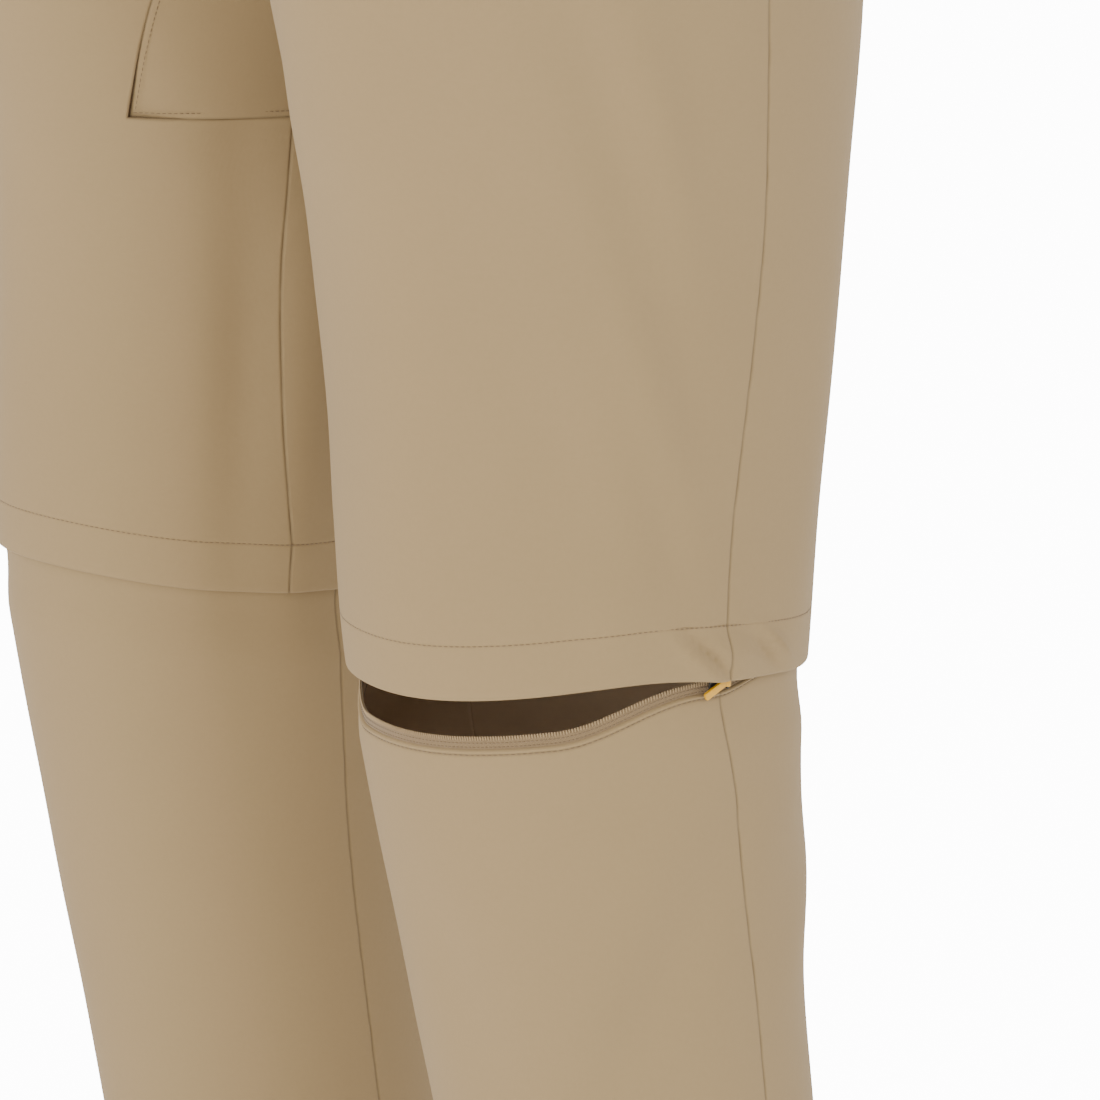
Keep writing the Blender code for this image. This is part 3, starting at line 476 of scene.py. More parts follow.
def weave_group():
    """Fine two-way threads with slubs, soft mottling, and painted shade that darkens the colour in the seams.

    The threads are two sets of waves across the flat cloth, and noise bends and mutes them.
    """
    group = bpy.data.node_groups.new("stretch weave", "ShaderNodeTree")
    put = group.interface.new_socket
    put("Colour", in_out="INPUT", socket_type="NodeSocketColor")
    for name, value in (("Thread", 785.0), ("Relief", 0.25), ("Mottle", 0.06), ("Painted Seam Shade", 0.34)):
        put(name, in_out="INPUT", socket_type="NodeSocketFloat").default_value = value
    put("Colour", in_out="OUTPUT", socket_type="NodeSocketColor")
    put("Roughness", in_out="OUTPUT", socket_type="NodeSocketFloat")
    put("Normal", in_out="OUTPUT", socket_type="NodeSocketVector")
    nodes, links = group.nodes, group.links
    given, made = nodes.new("NodeGroupInput"), nodes.new("NodeGroupOutput")
    flat = nodes.new("ShaderNodeTexCoord")

    def maths(kind, a, b):
        node = nodes.new("ShaderNodeMath")
        node.operation = kind
        for socket, value in zip(node.inputs, (a, b)):
            if isinstance(value, float):
                socket.default_value = value
            else:
                links.new(value, socket)
        return node.outputs[0]

    def noise(scale, detail, vector=flat.outputs["UV"]):
        node = nodes.new("ShaderNodeTexNoise")
        node.inputs["Scale"].default_value = scale
        node.inputs["Detail"].default_value = detail
        links.new(vector, node.inputs["Vector"])
        return node.outputs["Fac"]

    threads = []
    for direction in ("X", "Y"):
        wave = nodes.new("ShaderNodeTexWave")
        wave.bands_direction = direction
        wave.inputs["Distortion"].default_value = 0.6
        wave.inputs["Detail"].default_value = 1.0
        links.new(flat.outputs["UV"], wave.inputs["Vector"])
        links.new(given.outputs["Thread"], wave.inputs["Scale"])
        threads.append(wave.outputs["Fac"])
    cross = maths("ADD", threads[0], threads[1])
    slub = noise(900.0, 2.0)
    height = maths("ADD", maths("MULTIPLY", cross, 0.5), maths("MULTIPLY", slub, 0.8))
    bump = nodes.new("ShaderNodeBump")
    bump.inputs["Distance"].default_value = 0.00012
    links.new(given.outputs["Relief"], bump.inputs["Strength"])
    links.new(height, bump.inputs["Height"])
    links.new(bump.outputs["Normal"], made.inputs["Normal"])
    cloudy = maths("SUBTRACT", noise(14.0, 3.0, flat.outputs["Object"]), 0.5)
    grainy = maths("SUBTRACT", noise(420.0, 2.0), 0.5)
    uneven = maths("MULTIPLY", maths("ADD", cloudy, grainy), given.outputs["Mottle"])
    # Painted shade: the seam attribute darkens the colour along each seam groove, where shade would fall.
    depth = nodes.new("ShaderNodeAttribute")
    depth.attribute_name = "seam"
    dark = maths("MULTIPLY", depth.outputs["Fac"], given.outputs["Painted Seam Shade"])
    light = maths("SUBTRACT", maths("ADD", uneven, 1.0), dark)
    shaded = nodes.new("ShaderNodeVectorMath")
    shaded.operation = "SCALE"
    links.new(given.outputs["Colour"], shaded.inputs[0])
    links.new(light, shaded.inputs["Scale"])
    links.new(shaded.outputs["Vector"], made.inputs["Colour"])
    rough = maths("ADD", maths("MULTIPLY", slub, 0.10), 0.80)
    links.new(rough, made.inputs["Roughness"])
    return group


STRETCH_WEAVE = weave_group()


# shade sets how strongly painted shade darkens the cloth along its seams.
def woven_material(name, colour, thread=785.0, relief=0.25, mottle=0.06, shade=0.34, sheen=0.04):
    """A Principled material fed by the weave; its sheen stays on the shader's own sockets."""
    material = bpy.data.materials.new(name)
    material.use_nodes = True
    nodes, links = material.node_tree.nodes, material.node_tree.links
    shader = nodes["Principled BSDF"]
    shader.inputs["Specular IOR Level"].default_value = 0.25
    shader.inputs["Sheen Weight"].default_value = sheen
    shader.inputs["Sheen Roughness"].default_value = 0.5
    weave = nodes.new("ShaderNodeGroup")
    weave.node_tree = STRETCH_WEAVE
    weave.inputs["Colour"].default_value = (*colour, 1.0)
    weave.inputs["Thread"].default_value = thread
    weave.inputs["Relief"].default_value = relief
    weave.inputs["Mottle"].default_value = mottle
    weave.inputs["Painted Seam Shade"].default_value = shade
    links.new(weave.outputs["Colour"], shader.inputs["Base Color"])
    links.new(weave.outputs["Roughness"], shader.inputs["Roughness"])
    links.new(weave.outputs["Normal"], shader.inputs["Normal"])
    return material


CLOTH_BEIGE = (0.262, 0.180, 0.086)
# The inner faces get a far lighter copy of the cloth colour: painted light standing in for the light that
# reaches the inside of the legs, seen through the open zip.
INSIDE_PAINTED_LIGHT_BEIGE = (0.60, 0.45, 0.29)
CLOTH_MATERIAL = woven_material("stretch cloth", CLOTH_BEIGE)
INSIDE_PAINTED_LIGHT_MATERIAL = woven_material("inside of the cloth, painted lighter", INSIDE_PAINTED_LIGHT_BEIGE, shade=0.0)


def dress(piece, material, slot, body, *nodes):
    """Give a piece its finish, let it ride on its body and stand for its solids."""
    piece.data.materials.append(material)
    # Inner faces take the second slot: the lighter, painted-light copy of the cloth.
    if material is CLOTH_MATERIAL:
        piece.data.materials.append(INSIDE_PAINTED_LIGHT_MATERIAL)
    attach(piece, body)
    if nodes:
        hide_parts(*nodes)
    return piece


def shorts_panel(name, side, back_side):
    """Rows run from the waist seam to the knee stitch, and columns from the middle to the outseam."""
    z = spaced(WAISTBAND_FOOT, KNEE_STITCH_Z, GRID, (WAISTBAND_FOOT, GUSSET_FOOT_Z, KNEE_STITCH_Z))
    z[np.argmin(np.abs(z - GUSSET_FOOT_Z))] = GUSSET_FOOT_Z
    climb, swing, round_leg = gusset_climb(z), seam_swing(z), girth(KNEE_HEM_Z)
    outseam = OUTSEAM_T + OUTSEAM_SWING * swing
    fine = GRID_REACH / round_leg
    if back_side:
        corner_t, end_t = 1 + GUSSET_BACK_T, 1 + INSEAM_T
        edge, inseam = 1 + GUSSET_BACK_T * climb, 1 + inseam_at(z)
    else:
        corner_t, end_t = GUSSET_FRONT_T, INSEAM_T
        edge, inseam = GUSSET_FRONT_T * climb ** GUSSET_ROUND, inseam_at(z)
    body = spaced(0, 1, GRID / round_leg / abs(OUTSEAM_T - corner_t), (0, 1), 2.4 * fine)
    part = spaced(0, 1, GRID / round_leg / abs(end_t - corner_t), (0, 1), 8 * fine)[1:]
    body_t = outseam[:, None] + (edge - outseam)[:, None] * body
    tail_t = edge[:, None] + (inseam - edge)[:, None] * part
    t = np.concatenate([body_t, tail_t], 1)
    keep = np.ones((len(z) - 1, t.shape[1] - 1), bool)
    keep[z[:-1] > GUSSET_FOOT_Z, len(body) - 1:] = False
    z = np.repeat(z[:, None], t.shape[1], 1)
    distance = seam_distance(side, t, z)
    relief = seam_relief(distance, z + 0.4 * t) + stitch_dip(z - KNEE_STITCH_Z)
    relief = relief + folds_out(CREASES, side, t, z)
    if not back_side:
        t, z, relief, distance, keep = [grid[:, ::-1] for grid in (t, z, relief, distance, keep)]
    outer, inner = on_cloth(side, t, z, relief), on_cloth(side, t, z, np.minimum(relief, 0) - CLOTH)
    for grid in (outer, inner):
        grid[..., 0] = side * np.maximum(side * grid[..., 0], 0)
    # seam is the painted shade along each seam groove.
    flat, seam = np.stack([t * round_leg, z], -1), np.exp(-(distance / SEAM_WIDTH) ** 2)
    piece = closed_shell(name + "_cloth", outer, inner, keep, flip=side > 0, seam=seam, flat=flat)
    dress(piece, CLOTH_MATERIAL, "cloth", "trousers", name)


SIDES = (("left", 1), ("right", -1))
for word, side in SIDES:
    shorts_panel(word + "_shorts_front", side, back_side=False)
    shorts_panel(word + "_shorts_back", side, back_side=True)

# Crotch gusset
# A wide piece laid over the saddle between the legs gives room to stride. It runs from
# one inner thigh to the other, and its lower edges are topstitched on the legs.


def gusset():
    """Half the piece runs from the middle down one inner thigh; the other half mirrors it."""
    across = spaced(GUSSET_BACK_T, GUSSET_FRONT_T, 0.008, (GUSSET_BACK_T, GUSSET_FRONT_T), 0.006)
    down = spaced(1e-4, 1, 0.028, (1,), 0.03, 6.0)
    climb = np.abs(across) / np.where(across > 0, GUSSET_FRONT_T, -GUSSET_BACK_T)
    top = CROTCH_Z + (GUSSET_TIP_Z - CROTCH_Z) * climb ** 2
    t = across[None, :] * down[:, None] ** np.where(across > 0, GUSSET_ROUND, 1)
    z = top[None, :] + (GUSSET_FOOT_Z - top[None, :]) * down[:, None]
    distance = seam_distance(1, t, z)
    relief = seam_relief(distance, z)
    halves = []
    for inset in (0.0, CLOTH):
        half = on_cloth(1, t, z, relief - inset)
        half[0, :, 0] = 0
        halves.append(np.concatenate([half[:0:-1] * (-1, 1, 1), half]))
    # Painted shade along the gusset's seams.
    seam = np.exp(-(distance / SEAM_WIDTH) ** 2)
    seam = np.concatenate([seam[:0:-1], seam])
    flat = np.stack([np.repeat(across[None, :], len(seam), 0),
                     np.linspace(-0.13, 0.13, len(seam))[:, None] + 0 * across], -1)
    piece = closed_shell("crotch_gusset_cloth", *halves, seam=seam, flat=flat)
    dress(piece, CLOTH_MATERIAL, "cloth", "trousers", "crotch_gusset")


gusset()

# Knee hems of the shorts part
# The foot of each leg is folded up inside and held by one row of stitches 20 mm above
# the fold. It hangs over the knee zip as a flap.
HEM_THICK = 0.0022
# The thread's own beige is darkened well below the cloth's: painted shade for the shadow along each stitch
# row.
SHADED_THREAD_BEIGE = (0.150, 0.095, 0.045)
THREAD_RADIUS = 0.00018
STITCH_PITCH = 0.0022
STITCH_LENGTH = 0.0015
STITCH_LIFT = 0.000022
STITCH_BOW = 0.00009
SLIDER_T = 0.507
SLIDER_BULGE = 0.0034
SLIDER_BULGE_REACH = 0.017
SLIDER_BULGE_RISE = 0.012


def folded_profile(stitch_z, hem_z, thick, gap):
    """Heights and insets once round a folded hem: down the outside, round the fold, up the inside."""
    radius = thick / 2
    down = spaced(stitch_z, hem_z + radius, gap, (stitch_z,), 0.002)
    turn = np.linspace(0, math.pi, 9)[1:-1]
    z = np.concatenate([down, hem_z + radius - radius * np.sin(turn), down[::-1]])
    inset = np.concatenate([0 * down, radius - radius * np.cos(turn), 0 * down + thick])
    return z, inset


def hem_ring(name, side, t, z, inset, relief, seam):
    """A folded hem once round the leg: a grid closed both ways."""
    grid = on_cloth(side, t, z, relief - inset)
    rows, columns = grid.shape[:2]
    r, c = np.meshgrid(np.arange(rows), np.arange(columns), indexing="ij")
    r, c = r.ravel(), c.ravel()
    below, after = (r + 1) % rows, (c + 1) % columns
    faces = np.stack([r * columns + c, r * columns + after, below * columns + after, below * columns + c], -1)
    if side > 0:
        faces = faces[:, ::-1]
    mesh = bpy.data.meshes.new(name + "_cloth")
    mesh.from_pydata(grid.reshape(-1, 3).tolist(), [], faces.tolist())
    depth = mesh.attributes.new("seam", "FLOAT", "POINT")
    depth.data.foreach_set("value", seam.ravel().astype("f"))
    lay_flat(mesh, np.stack([(t + 0 * z) * girth(KNEE_HEM_Z), z + inset + 0 * t], -1).reshape(-1, 2))
    mesh.shade_smooth()
    piece = dress(placed(name + "_cloth", mesh), CLOTH_MATERIAL, "cloth", "trousers", name)


def slider_bulge(t, z):
    """The flap stands out where it lies over the slider."""
    across = (t - SLIDER_T) * girth(KNEE_HEM_Z)
    rise = smooth((KNEE_STITCH_Z - z) / SLIDER_BULGE_RISE)
    return SLIDER_BULGE * np.exp(-(across / SLIDER_BULGE_REACH) ** 2) * rise


def capsules(name, start, end, out, radius, bow=0.0, sides=5):
    """Short rounded rods, all in one mesh: rings along each line from start to end, drawn in at both ends.

    out is the direction away from the cloth, and bow how far the middle rises that way.
    """
    share = np.array([0.0, 0.12, 0.5, 0.88, 1.0])
    size = np.array([0.35, 0.85, 1.0, 0.85, 0.35])
    along = end - start
    beside = np.cross(along, out)
    beside /= np.linalg.norm(beside, axis=-1, keepdims=True)
    rise = (bow * np.sin(math.pi * share))[:, None]
    spine = start[:, None] + along[:, None] * share[:, None] + out[:, None] * rise
    turn = np.arange(sides) * 2 * math.pi / sides
    rim = out[:, None] * np.cos(turn)[:, None] + beside[:, None] * np.sin(turn)[:, None]
    points = spine[:, :, None] + radius * size[:, None, None] * rim[:, None]
    rods, rings = len(start), len(share)
    number = np.arange(rods * rings * sides).reshape(rods, rings, sides)
    follow = np.roll(number, -1, 2)
    walls = np.stack([number[:, :-1], follow[:, :-1], follow[:, 1:], number[:, 1:]], -1).reshape(-1, 4)
    ends = np.concatenate([number[:, 0, ::-1], number[:, -1]])
    mesh = bpy.data.meshes.new(name)
    mesh.from_pydata(points.reshape(-1, 3).tolist(), [], walls.tolist() + ends.tolist())
    mesh.shade_smooth()
    return placed(name, mesh)


def even_points(line, pitch, length):
    """Shares of a line's length where each stitch starts and ends."""
    run = np.concatenate([[0], np.cumsum(np.linalg.norm(np.diff(line, axis=0), axis=-1))])
    count = int(run[-1] / pitch)
    start = (np.arange(count) + 0.5 - length / pitch / 2) * run[-1] / count
    return run, start, start + length


# Sewing thread in its beige, darkened as painted shade for the stitches' shadow.
THREAD_MATERIAL = woven_material("sewing thread", SHADED_THREAD_BEIGE, thread=2400.0, relief=0.1, mottle=0.15,
                                 sheen=0.2)


def sew(name, line, normal, pitch=STITCH_PITCH, length=STITCH_LENGTH, lift=STITCH_LIFT, bow=STITCH_BOW):
    """One row of stitches along a line, each bowed out a little from the cloth."""
    run, start, end = even_points(line, pitch, length)

    def at(values, where):
        return np.stack([np.interp(where, run, values[:, k]) for k in range(3)], -1)

    facing = at(normal, (start + end) / 2)
    row = capsules(name, at(line, start) + facing * lift, at(line, end) + facing * lift, facing,
                   THREAD_RADIUS, bow)
    dress(row, THREAD_MATERIAL, "cloth", "trousers")


def sew_on_cloth(name, side, t, z, out=0.0, **stitch):
    sew(name, on_cloth(side, t, z, out), outward(side, t, z), **stitch)


def knee_band(name, side):
    """The hem's wall, with the outseam and inseam running on down through it."""
    z, inset = folded_profile(KNEE_STITCH_Z, KNEE_HEM_Z, HEM_THICK, 0.0024)
    outseam, inseam = OUTSEAM_T + OUTSEAM_SWING, INSEAM_T + INSEAM_SWING
    t = spaced(inseam, 1 + inseam, 0.0030 / girth(KNEE_HEM_Z), (inseam, outseam, 1 + inseam), 0.005)[:-1]
    z, inset, t = z[:, None], inset[:, None], t[None, :]
    outside = inset < HEM_THICK / 2
    seam_side = np.minimum(np.abs(t - outseam), np.abs(wrapped(t - inseam))) * girth(KNEE_HEM_Z)
    stitch = np.where(outside, np.abs(z - KNEE_STITCH_Z), 1.0)
    groove = stitch_dip(stitch + 0 * t) + seam_relief(seam_side + 0 * z, z)
    crease = folds_out(CREASES, side, t, z) + (slider_bulge(t, z) if side > 0 else 0)
    relief = crease + np.where(outside, groove, 0.0)
    # Painted shade along the seams on the outer face of the band.
    seam = np.where(outside, np.exp(-(seam_side / SEAM_WIDTH) ** 2), 0.0)
    hem_ring(name, side, t, z, inset, relief, seam)


ROUND_T = np.linspace(0, 1, 400)
for word, side in SIDES:
    knee_band(word + "_knee_band", side)
    sew_on_cloth(word + "_knee_hem_stitches", side, ROUND_T, KNEE_STITCH_Z + 0 * ROUND_T, STITCH_DIP)

for word, side in SIDES:
    foot_t = np.linspace(GUSSET_BACK_T + 0.004, GUSSET_FRONT_T - 0.004, 120)
    foot_z = GUSSET_FOOT_Z + GUSSET_STITCH + 0 * foot_t
    sew_on_cloth(word + "_gusset_foot_stitches", side, foot_t, foot_z, GUSSET_THREAD_OUT)
    climb = np.linspace(0.12, 0.975, 120)
    slope_z = GUSSET_TIP_Z + (GUSSET_FOOT_Z - GUSSET_TIP_Z) * climb
    inside = GUSSET_STITCH / girth(GUSSET_FOOT_Z) * 1.2
    front_t, back_t = GUSSET_FRONT_T * climb ** GUSSET_ROUND - inside, GUSSET_BACK_T * climb + inside
    sew_on_cloth(word + "_gusset_front_stitches", side, front_t, slope_z, GUSSET_THREAD_OUT)
    sew_on_cloth(word + "_gusset_back_stitches", side, back_t, slope_z, GUSSET_THREAD_OUT)

# Lower legs
# A front and a back panel make each lower leg. The top edge is turned over the zip tape
# and topstitched close to the fold, so a thin light welt shows below the zip.
LOWER_INSEAM_T = -0.008
LOWER_OUTSEAM_TOP_T = 0.510
LOWER_OUTSEAM_KNEE_SWING = 0.010
LOWER_KNEE_SWING_BY = 0.07
LOWER_OUTSEAM_SWING = 0.014
LOWER_SWING_BY = 0.25
LOWER_EASE = 1.15
ZIP_ABOVE_HEM = 0.008
MOUTH_SAG = 0.0233
MOUTH_INNER_T = 0.070
MOUTH_INNER_RUN = 0.130
MOUTH_OUTER_T = 0.385
MOUTH_OUTER_RUN = 0.118
SLIDER_SAG_SHARE = 0.43
CLOSING_T = 0.500
CLOSING_RUN = 0.075
TAPE_WIDTH = 0.0044
FLAP_INSET = 0.0037
FLAP_INSET_RUN = 0.026
INSET_BELOW_HEM = 0.004
WELT_THICK = 0.0016
WELT_STITCH = 0.0019
WELT_GROOVE = 0.00030
WELT_GROOVE_WIDTH = 0.0006
WELT_SWELL = 0.00045
WELT_SWELL_AT = 0.0009
WELT_SWELL_WIDTH = 0.0008
WELT_DEPTH = 0.004
# Strength and width of the painted shade along the welt's stitch groove.
WELT_SHADE = 0.5
WELT_SHADE_WIDTH = 0.0005
WELT_THREAD_SINK = 0.00012


def mouth(t):
    """How far the zip line lies below the closed line, as a share of the full sag."""
    t = np.where(t < 0, t + 1, t)
    rise = smooth((t - MOUTH_INNER_T) / MOUTH_INNER_RUN)
    to_slider = (1 - SLIDER_SAG_SHARE) * smooth((t - MOUTH_OUTER_T) / MOUTH_OUTER_RUN)
    closing = SLIDER_SAG_SHARE * smooth((t - CLOSING_T) / CLOSING_RUN)
    return rise * (1 - to_slider - closing)


def zip_line(side, t):
    """Height of the zip's teeth round the leg."""
    return KNEE_HEM_Z + ZIP_ABOVE_HEM - (MOUTH_SAG * mouth(t) if side > 0 else 0 * t)


def lower_inset(z):
    """The lower leg starts inside the flap and comes out to the surface below it."""
    return FLAP_INSET * (1 - smooth((KNEE_HEM_Z - INSET_BELOW_HEM - z) / FLAP_INSET_RUN))


def drawn_in(distance, thick):
    """How far a face is drawn in near a folded edge, as a quarter round of half the thickness."""
    radius = thick / 2
    gone = np.clip(radius - distance, 0, radius)
    return (radius - np.sqrt(radius ** 2 - gone ** 2)) * 0.96


def lower_panel(name, side, back_side):
    """Rows run from the folded top edge to the ankle stitch, and columns from seam to seam."""
    round_leg = girth(KNEE_HEM_Z)
    start, end = LOWER_INSEAM_T, LOWER_OUTSEAM_TOP_T
    if back_side:
        start, end = end, 1 + start
    share = spaced(0, 1, GRID / round_leg / (end - start), (0, 1), 2.4 * GRID_REACH / round_leg)
    top_t = start + (end - start) * share
    top_z = zip_line(side, top_t) - TAPE_WIDTH
    height = top_z[0] - ANKLE_STITCH_Z
    down = spaced(0, 1, GRID / height, (0, 0.004, 1), 0.007)[:, None]
    drop = down ** LOWER_EASE
    shift = LOWER_OUTSEAM_KNEE_SWING * smooth(drop / LOWER_KNEE_SWING_BY)
    shift = shift + LOWER_OUTSEAM_SWING * smooth(drop / LOWER_SWING_BY)
    t = top_t + shift * (1 - share if back_side else share)
    z = top_z + (ANKLE_STITCH_Z - top_z) * down
    seam_side = np.minimum(share, 1 - share) * (end - start) * girth(z)
    ankle = np.abs(z - ANKLE_STITCH_Z)
    below_edge = top_z - z
    from_stitch = below_edge - WELT_STITCH
    welt = -WELT_GROOVE * np.exp(-(from_stitch / WELT_GROOVE_WIDTH) ** 2)
    swell = WELT_SWELL * np.exp(-((below_edge - WELT_SWELL_AT) / WELT_SWELL_WIDTH) ** 2)
    relief = seam_relief(seam_side, z + 0.3 * t) + stitch_dip(ankle) + folds_out(CREASES, side, t, z)
    relief = relief + welt + swell
    drawn = drawn_in(below_edge, WELT_THICK)
    thick = CLOTH + (WELT_THICK - CLOTH) * (1 - smooth((below_edge - WELT_DEPTH) / WELT_DEPTH))
    # Painted shade along the seams and, through WELT_SHADE, along the welt's stitch groove.
    seam = np.exp(-(seam_side / SEAM_WIDTH) ** 2)
    seam = np.maximum(seam, WELT_SHADE * np.exp(-(from_stitch / WELT_SHADE_WIDTH) ** 2))
    outer = on_cloth(side, t, z, relief - lower_inset(z) - drawn)
    inner = on_cloth(side, t, z, np.minimum(relief, 0) - lower_inset(z) - thick + drawn)
    flat = np.stack([t * round_leg, z], -1)
    piece = closed_shell(name + "_cloth", outer, inner, flip=side > 0, seam=seam, flat=flat)
    dress(piece, CLOTH_MATERIAL, "cloth", "trousers", name)


for word, side in SIDES:
    lower_panel(word + "_lower_front", side, back_side=False)
    lower_panel(word + "_lower_back", side, back_side=True)
    welt_z = zip_line(side, ROUND_T) - TAPE_WIDTH - WELT_STITCH
    sew_on_cloth(word + "_welt_stitches", side, ROUND_T, welt_z, -lower_inset(welt_z) - WELT_THREAD_SINK)

# Knee zips
# Each zip has two woven tapes, each with a plastic coil along its edge. The right one is
# closed behind its flap. The left one is open from the slider round the front.
TAPE = 0.0006
TAPE_SINK = 0.0007
TAPE_TUCK = 0.007
COIL_PITCH = 0.00110
COIL_RADIUS = 0.00036
COIL_REACH = 0.0019
COIL_OVER_EDGE = 0.0006
TAPE_STITCH_PITCH = 0.0016
TAPE_STITCH_LENGTH = 0.0012
TAPE_BEIGE = (0.195, 0.130, 0.065)
COIL_BEIGE = (0.290, 0.200, 0.105)
BEHIND_FLAP = 0.006
TAPES_PART_T = 0.016
TAPES_PART_RUN = 0.050
SLIDER_LENGTH = 0.0100


def upper_edge(t):
    """Foot of the left zip's upper tape: with the lower one behind the slider, then up behind the flap."""
    closed_end = SLIDER_T + SLIDER_LENGTH / 2 / girth(KNEE_HEM_Z)
    level = zip_line(1, closed_end)
    away = smooth((SLIDER_T - TAPES_PART_T - t) / TAPES_PART_RUN)
    away = away * smooth((t - MOUTH_INNER_T) / MOUTH_INNER_RUN)
    apart = level + away * (KNEE_HEM_Z + BEHIND_FLAP - level)
    return np.where(t < closed_end, np.maximum(zip_line(1, t), apart), zip_line(1, t))


TAPE_MATERIAL = woven_material("zip tape", TAPE_BEIGE, thread=520.0, relief=0.9, mottle=0.10, sheen=0.15)
COIL_MATERIAL = woven_material("zip coil", COIL_BEIGE, thread=2400.0, relief=0.05, mottle=0.10, sheen=0.0)


def tape(name, side, top, foot):
    """A woven tape round the leg between two heights."""
    t = ROUND_T[None, :-1]
    share = np.linspace(0, 1, 7)[:, None]
    z = top[None, :-1] + (foot - top)[None, :-1] * share
    sunk = lower_inset(z) + TAPE_SINK
    outer, inner = on_cloth(side, t, z, -sunk), on_cloth(side, t, z, -sunk - TAPE)
    flat = np.stack([(t + z) * 0.54, z - 0.3 * t], -1)
    piece = closed_shell(name + "_cloth", outer, inner, round_tube=True, flip=side > 0, flat=flat)
    dress(piece, TAPE_MATERIAL, "zip_tape", "trousers", name)


def coil(name, side, edge, facing):
    """The coil's turns along a tape's edge, each a short rod that laps over the edge."""
    count = int(girth(KNEE_HEM_Z) / COIL_PITCH)
    t = (np.arange(count) + (0.25 if facing > 0 else 0.75)) / count
    z = np.interp(t, ROUND_T, edge)
    sunk = lower_inset(z) + TAPE_SINK - COIL_RADIUS * 0.7
    start = on_cloth(side, t, z + facing * COIL_OVER_EDGE, -sunk)
    end = on_cloth(side, t + 0.0004, z - facing * (COIL_REACH - COIL_OVER_EDGE), -sunk)
    turns = capsules(name, start, end, outward(side, t, z), COIL_RADIUS)
    dress(turns, COIL_MATERIAL, "zip_tape", "trousers")


KNEE_TOP = KNEE_STITCH_Z - 0.001 + 0 * ROUND_T
left_zip, right_zip = zip_line(1, ROUND_T), zip_line(-1, ROUND_T)
tape("left_upper_zip_tape", 1, KNEE_TOP, upper_edge(ROUND_T))
tape("left_lower_zip_tape", 1, left_zip, left_zip - TAPE_WIDTH - TAPE_TUCK)
tape("right_knee_zip", -1, KNEE_TOP, right_zip - TAPE_WIDTH - TAPE_TUCK)
coil("left_upper_coil", 1, upper_edge(ROUND_T), -1)
coil("left_lower_coil", 1, left_zip, 1)
coil("right_upper_coil", -1, right_zip, -1)
coil("right_lower_coil", -1, right_zip, 1)
for word, side, line in (("left", 1, left_zip), ("right", -1, right_zip)):
    for row, below in enumerate((COIL_REACH + 0.0002, TAPE_WIDTH - 0.0008)):
        sunk = lower_inset(line - below) + TAPE_SINK
        sew_on_cloth(f"{word}_tape_stitches_{row + 1}", side, ROUND_T, line - below, -sunk,
                     pitch=TAPE_STITCH_PITCH, length=TAPE_STITCH_LENGTH)

# Slider and pull tab
# A small dark metal slider closes the left zip. It has two plates with a post between
# them, and a bridge that holds the yellow plastic tab.
ZIP_TAPE_SOLID = 0.0012
SLIDER_WIDTH = 0.0076
SLIDER_PLATE = 0.0009
SLIDER_SLOPE = 7.0
SLIDER_RISE = 0.00095
POST_WIDTH = 0.0010
POST_LENGTH = 0.0016
WELD = 0.0002
LIP = 0.0008
LIP_DROP = 0.0005
LIP_SHORTER = 0.0020
SLIDER_BEVEL = 0.00018
BRIDGE_BACK = 0.0028
BRIDGE_HEIGHT = 0.0014
BRIDGE_SPAN = 0.0044
BRIDGE_DROP = 0.0012
BRIDGE_LEG = 0.0007
BAR_RADIUS = 0.00045
TAB_LENGTH = 0.0120
TAB_WIDTH = 0.0030
TAB_THICK = 0.0012
TAB_NECK = 0.0026
TAB_SKEW = 24.0
EYE_INNER = 0.00075
EYE_OUTER = 0.00115
EYE_LAP = 0.0003
EYE_SIDES = 24
TAB_CORNER = 0.0008
TAB_BEVEL = 0.0002
CHANNEL = ZIP_TAPE_SOLID / 2 + SEAM_GAP + 0.0001
SLIDER_FACE = CHANNEL + SLIDER_PLATE
BAR_OUT = SLIDER_FACE + BRIDGE_HEIGHT
DARK_METAL = (0.055, 0.050, 0.045)
YELLOW = (0.56, 0.28, 0.004)


def slider_frame():
    """Place and axes of the slider: along the zip to its open side, up across it, and out."""
    z = float(zip_line(1, np.array(SLIDER_T))) + SLIDER_RISE
    middle = Vector(on_cloth(1, SLIDER_T, z, -float(lower_inset(z)) - ZIP_TAPE_SOLID / 2))
    near = SLIDER_WIDTH / girth(KNEE_HEM_Z) / 2
    ahead = Vector(garment(1, SLIDER_T - near, z) - garment(1, SLIDER_T + near, z)).normalized()
    out = Vector(outward(1, SLIDER_T, z))
    across = out.cross(ahead).normalized()
    if across.z < 0:
        across.negate()
    slope = math.radians(SLIDER_SLOPE)
    forward = ahead * math.cos(slope) - across * math.sin(slope)
    return middle, forward, across * math.cos(slope) + ahead * math.sin(slope), out


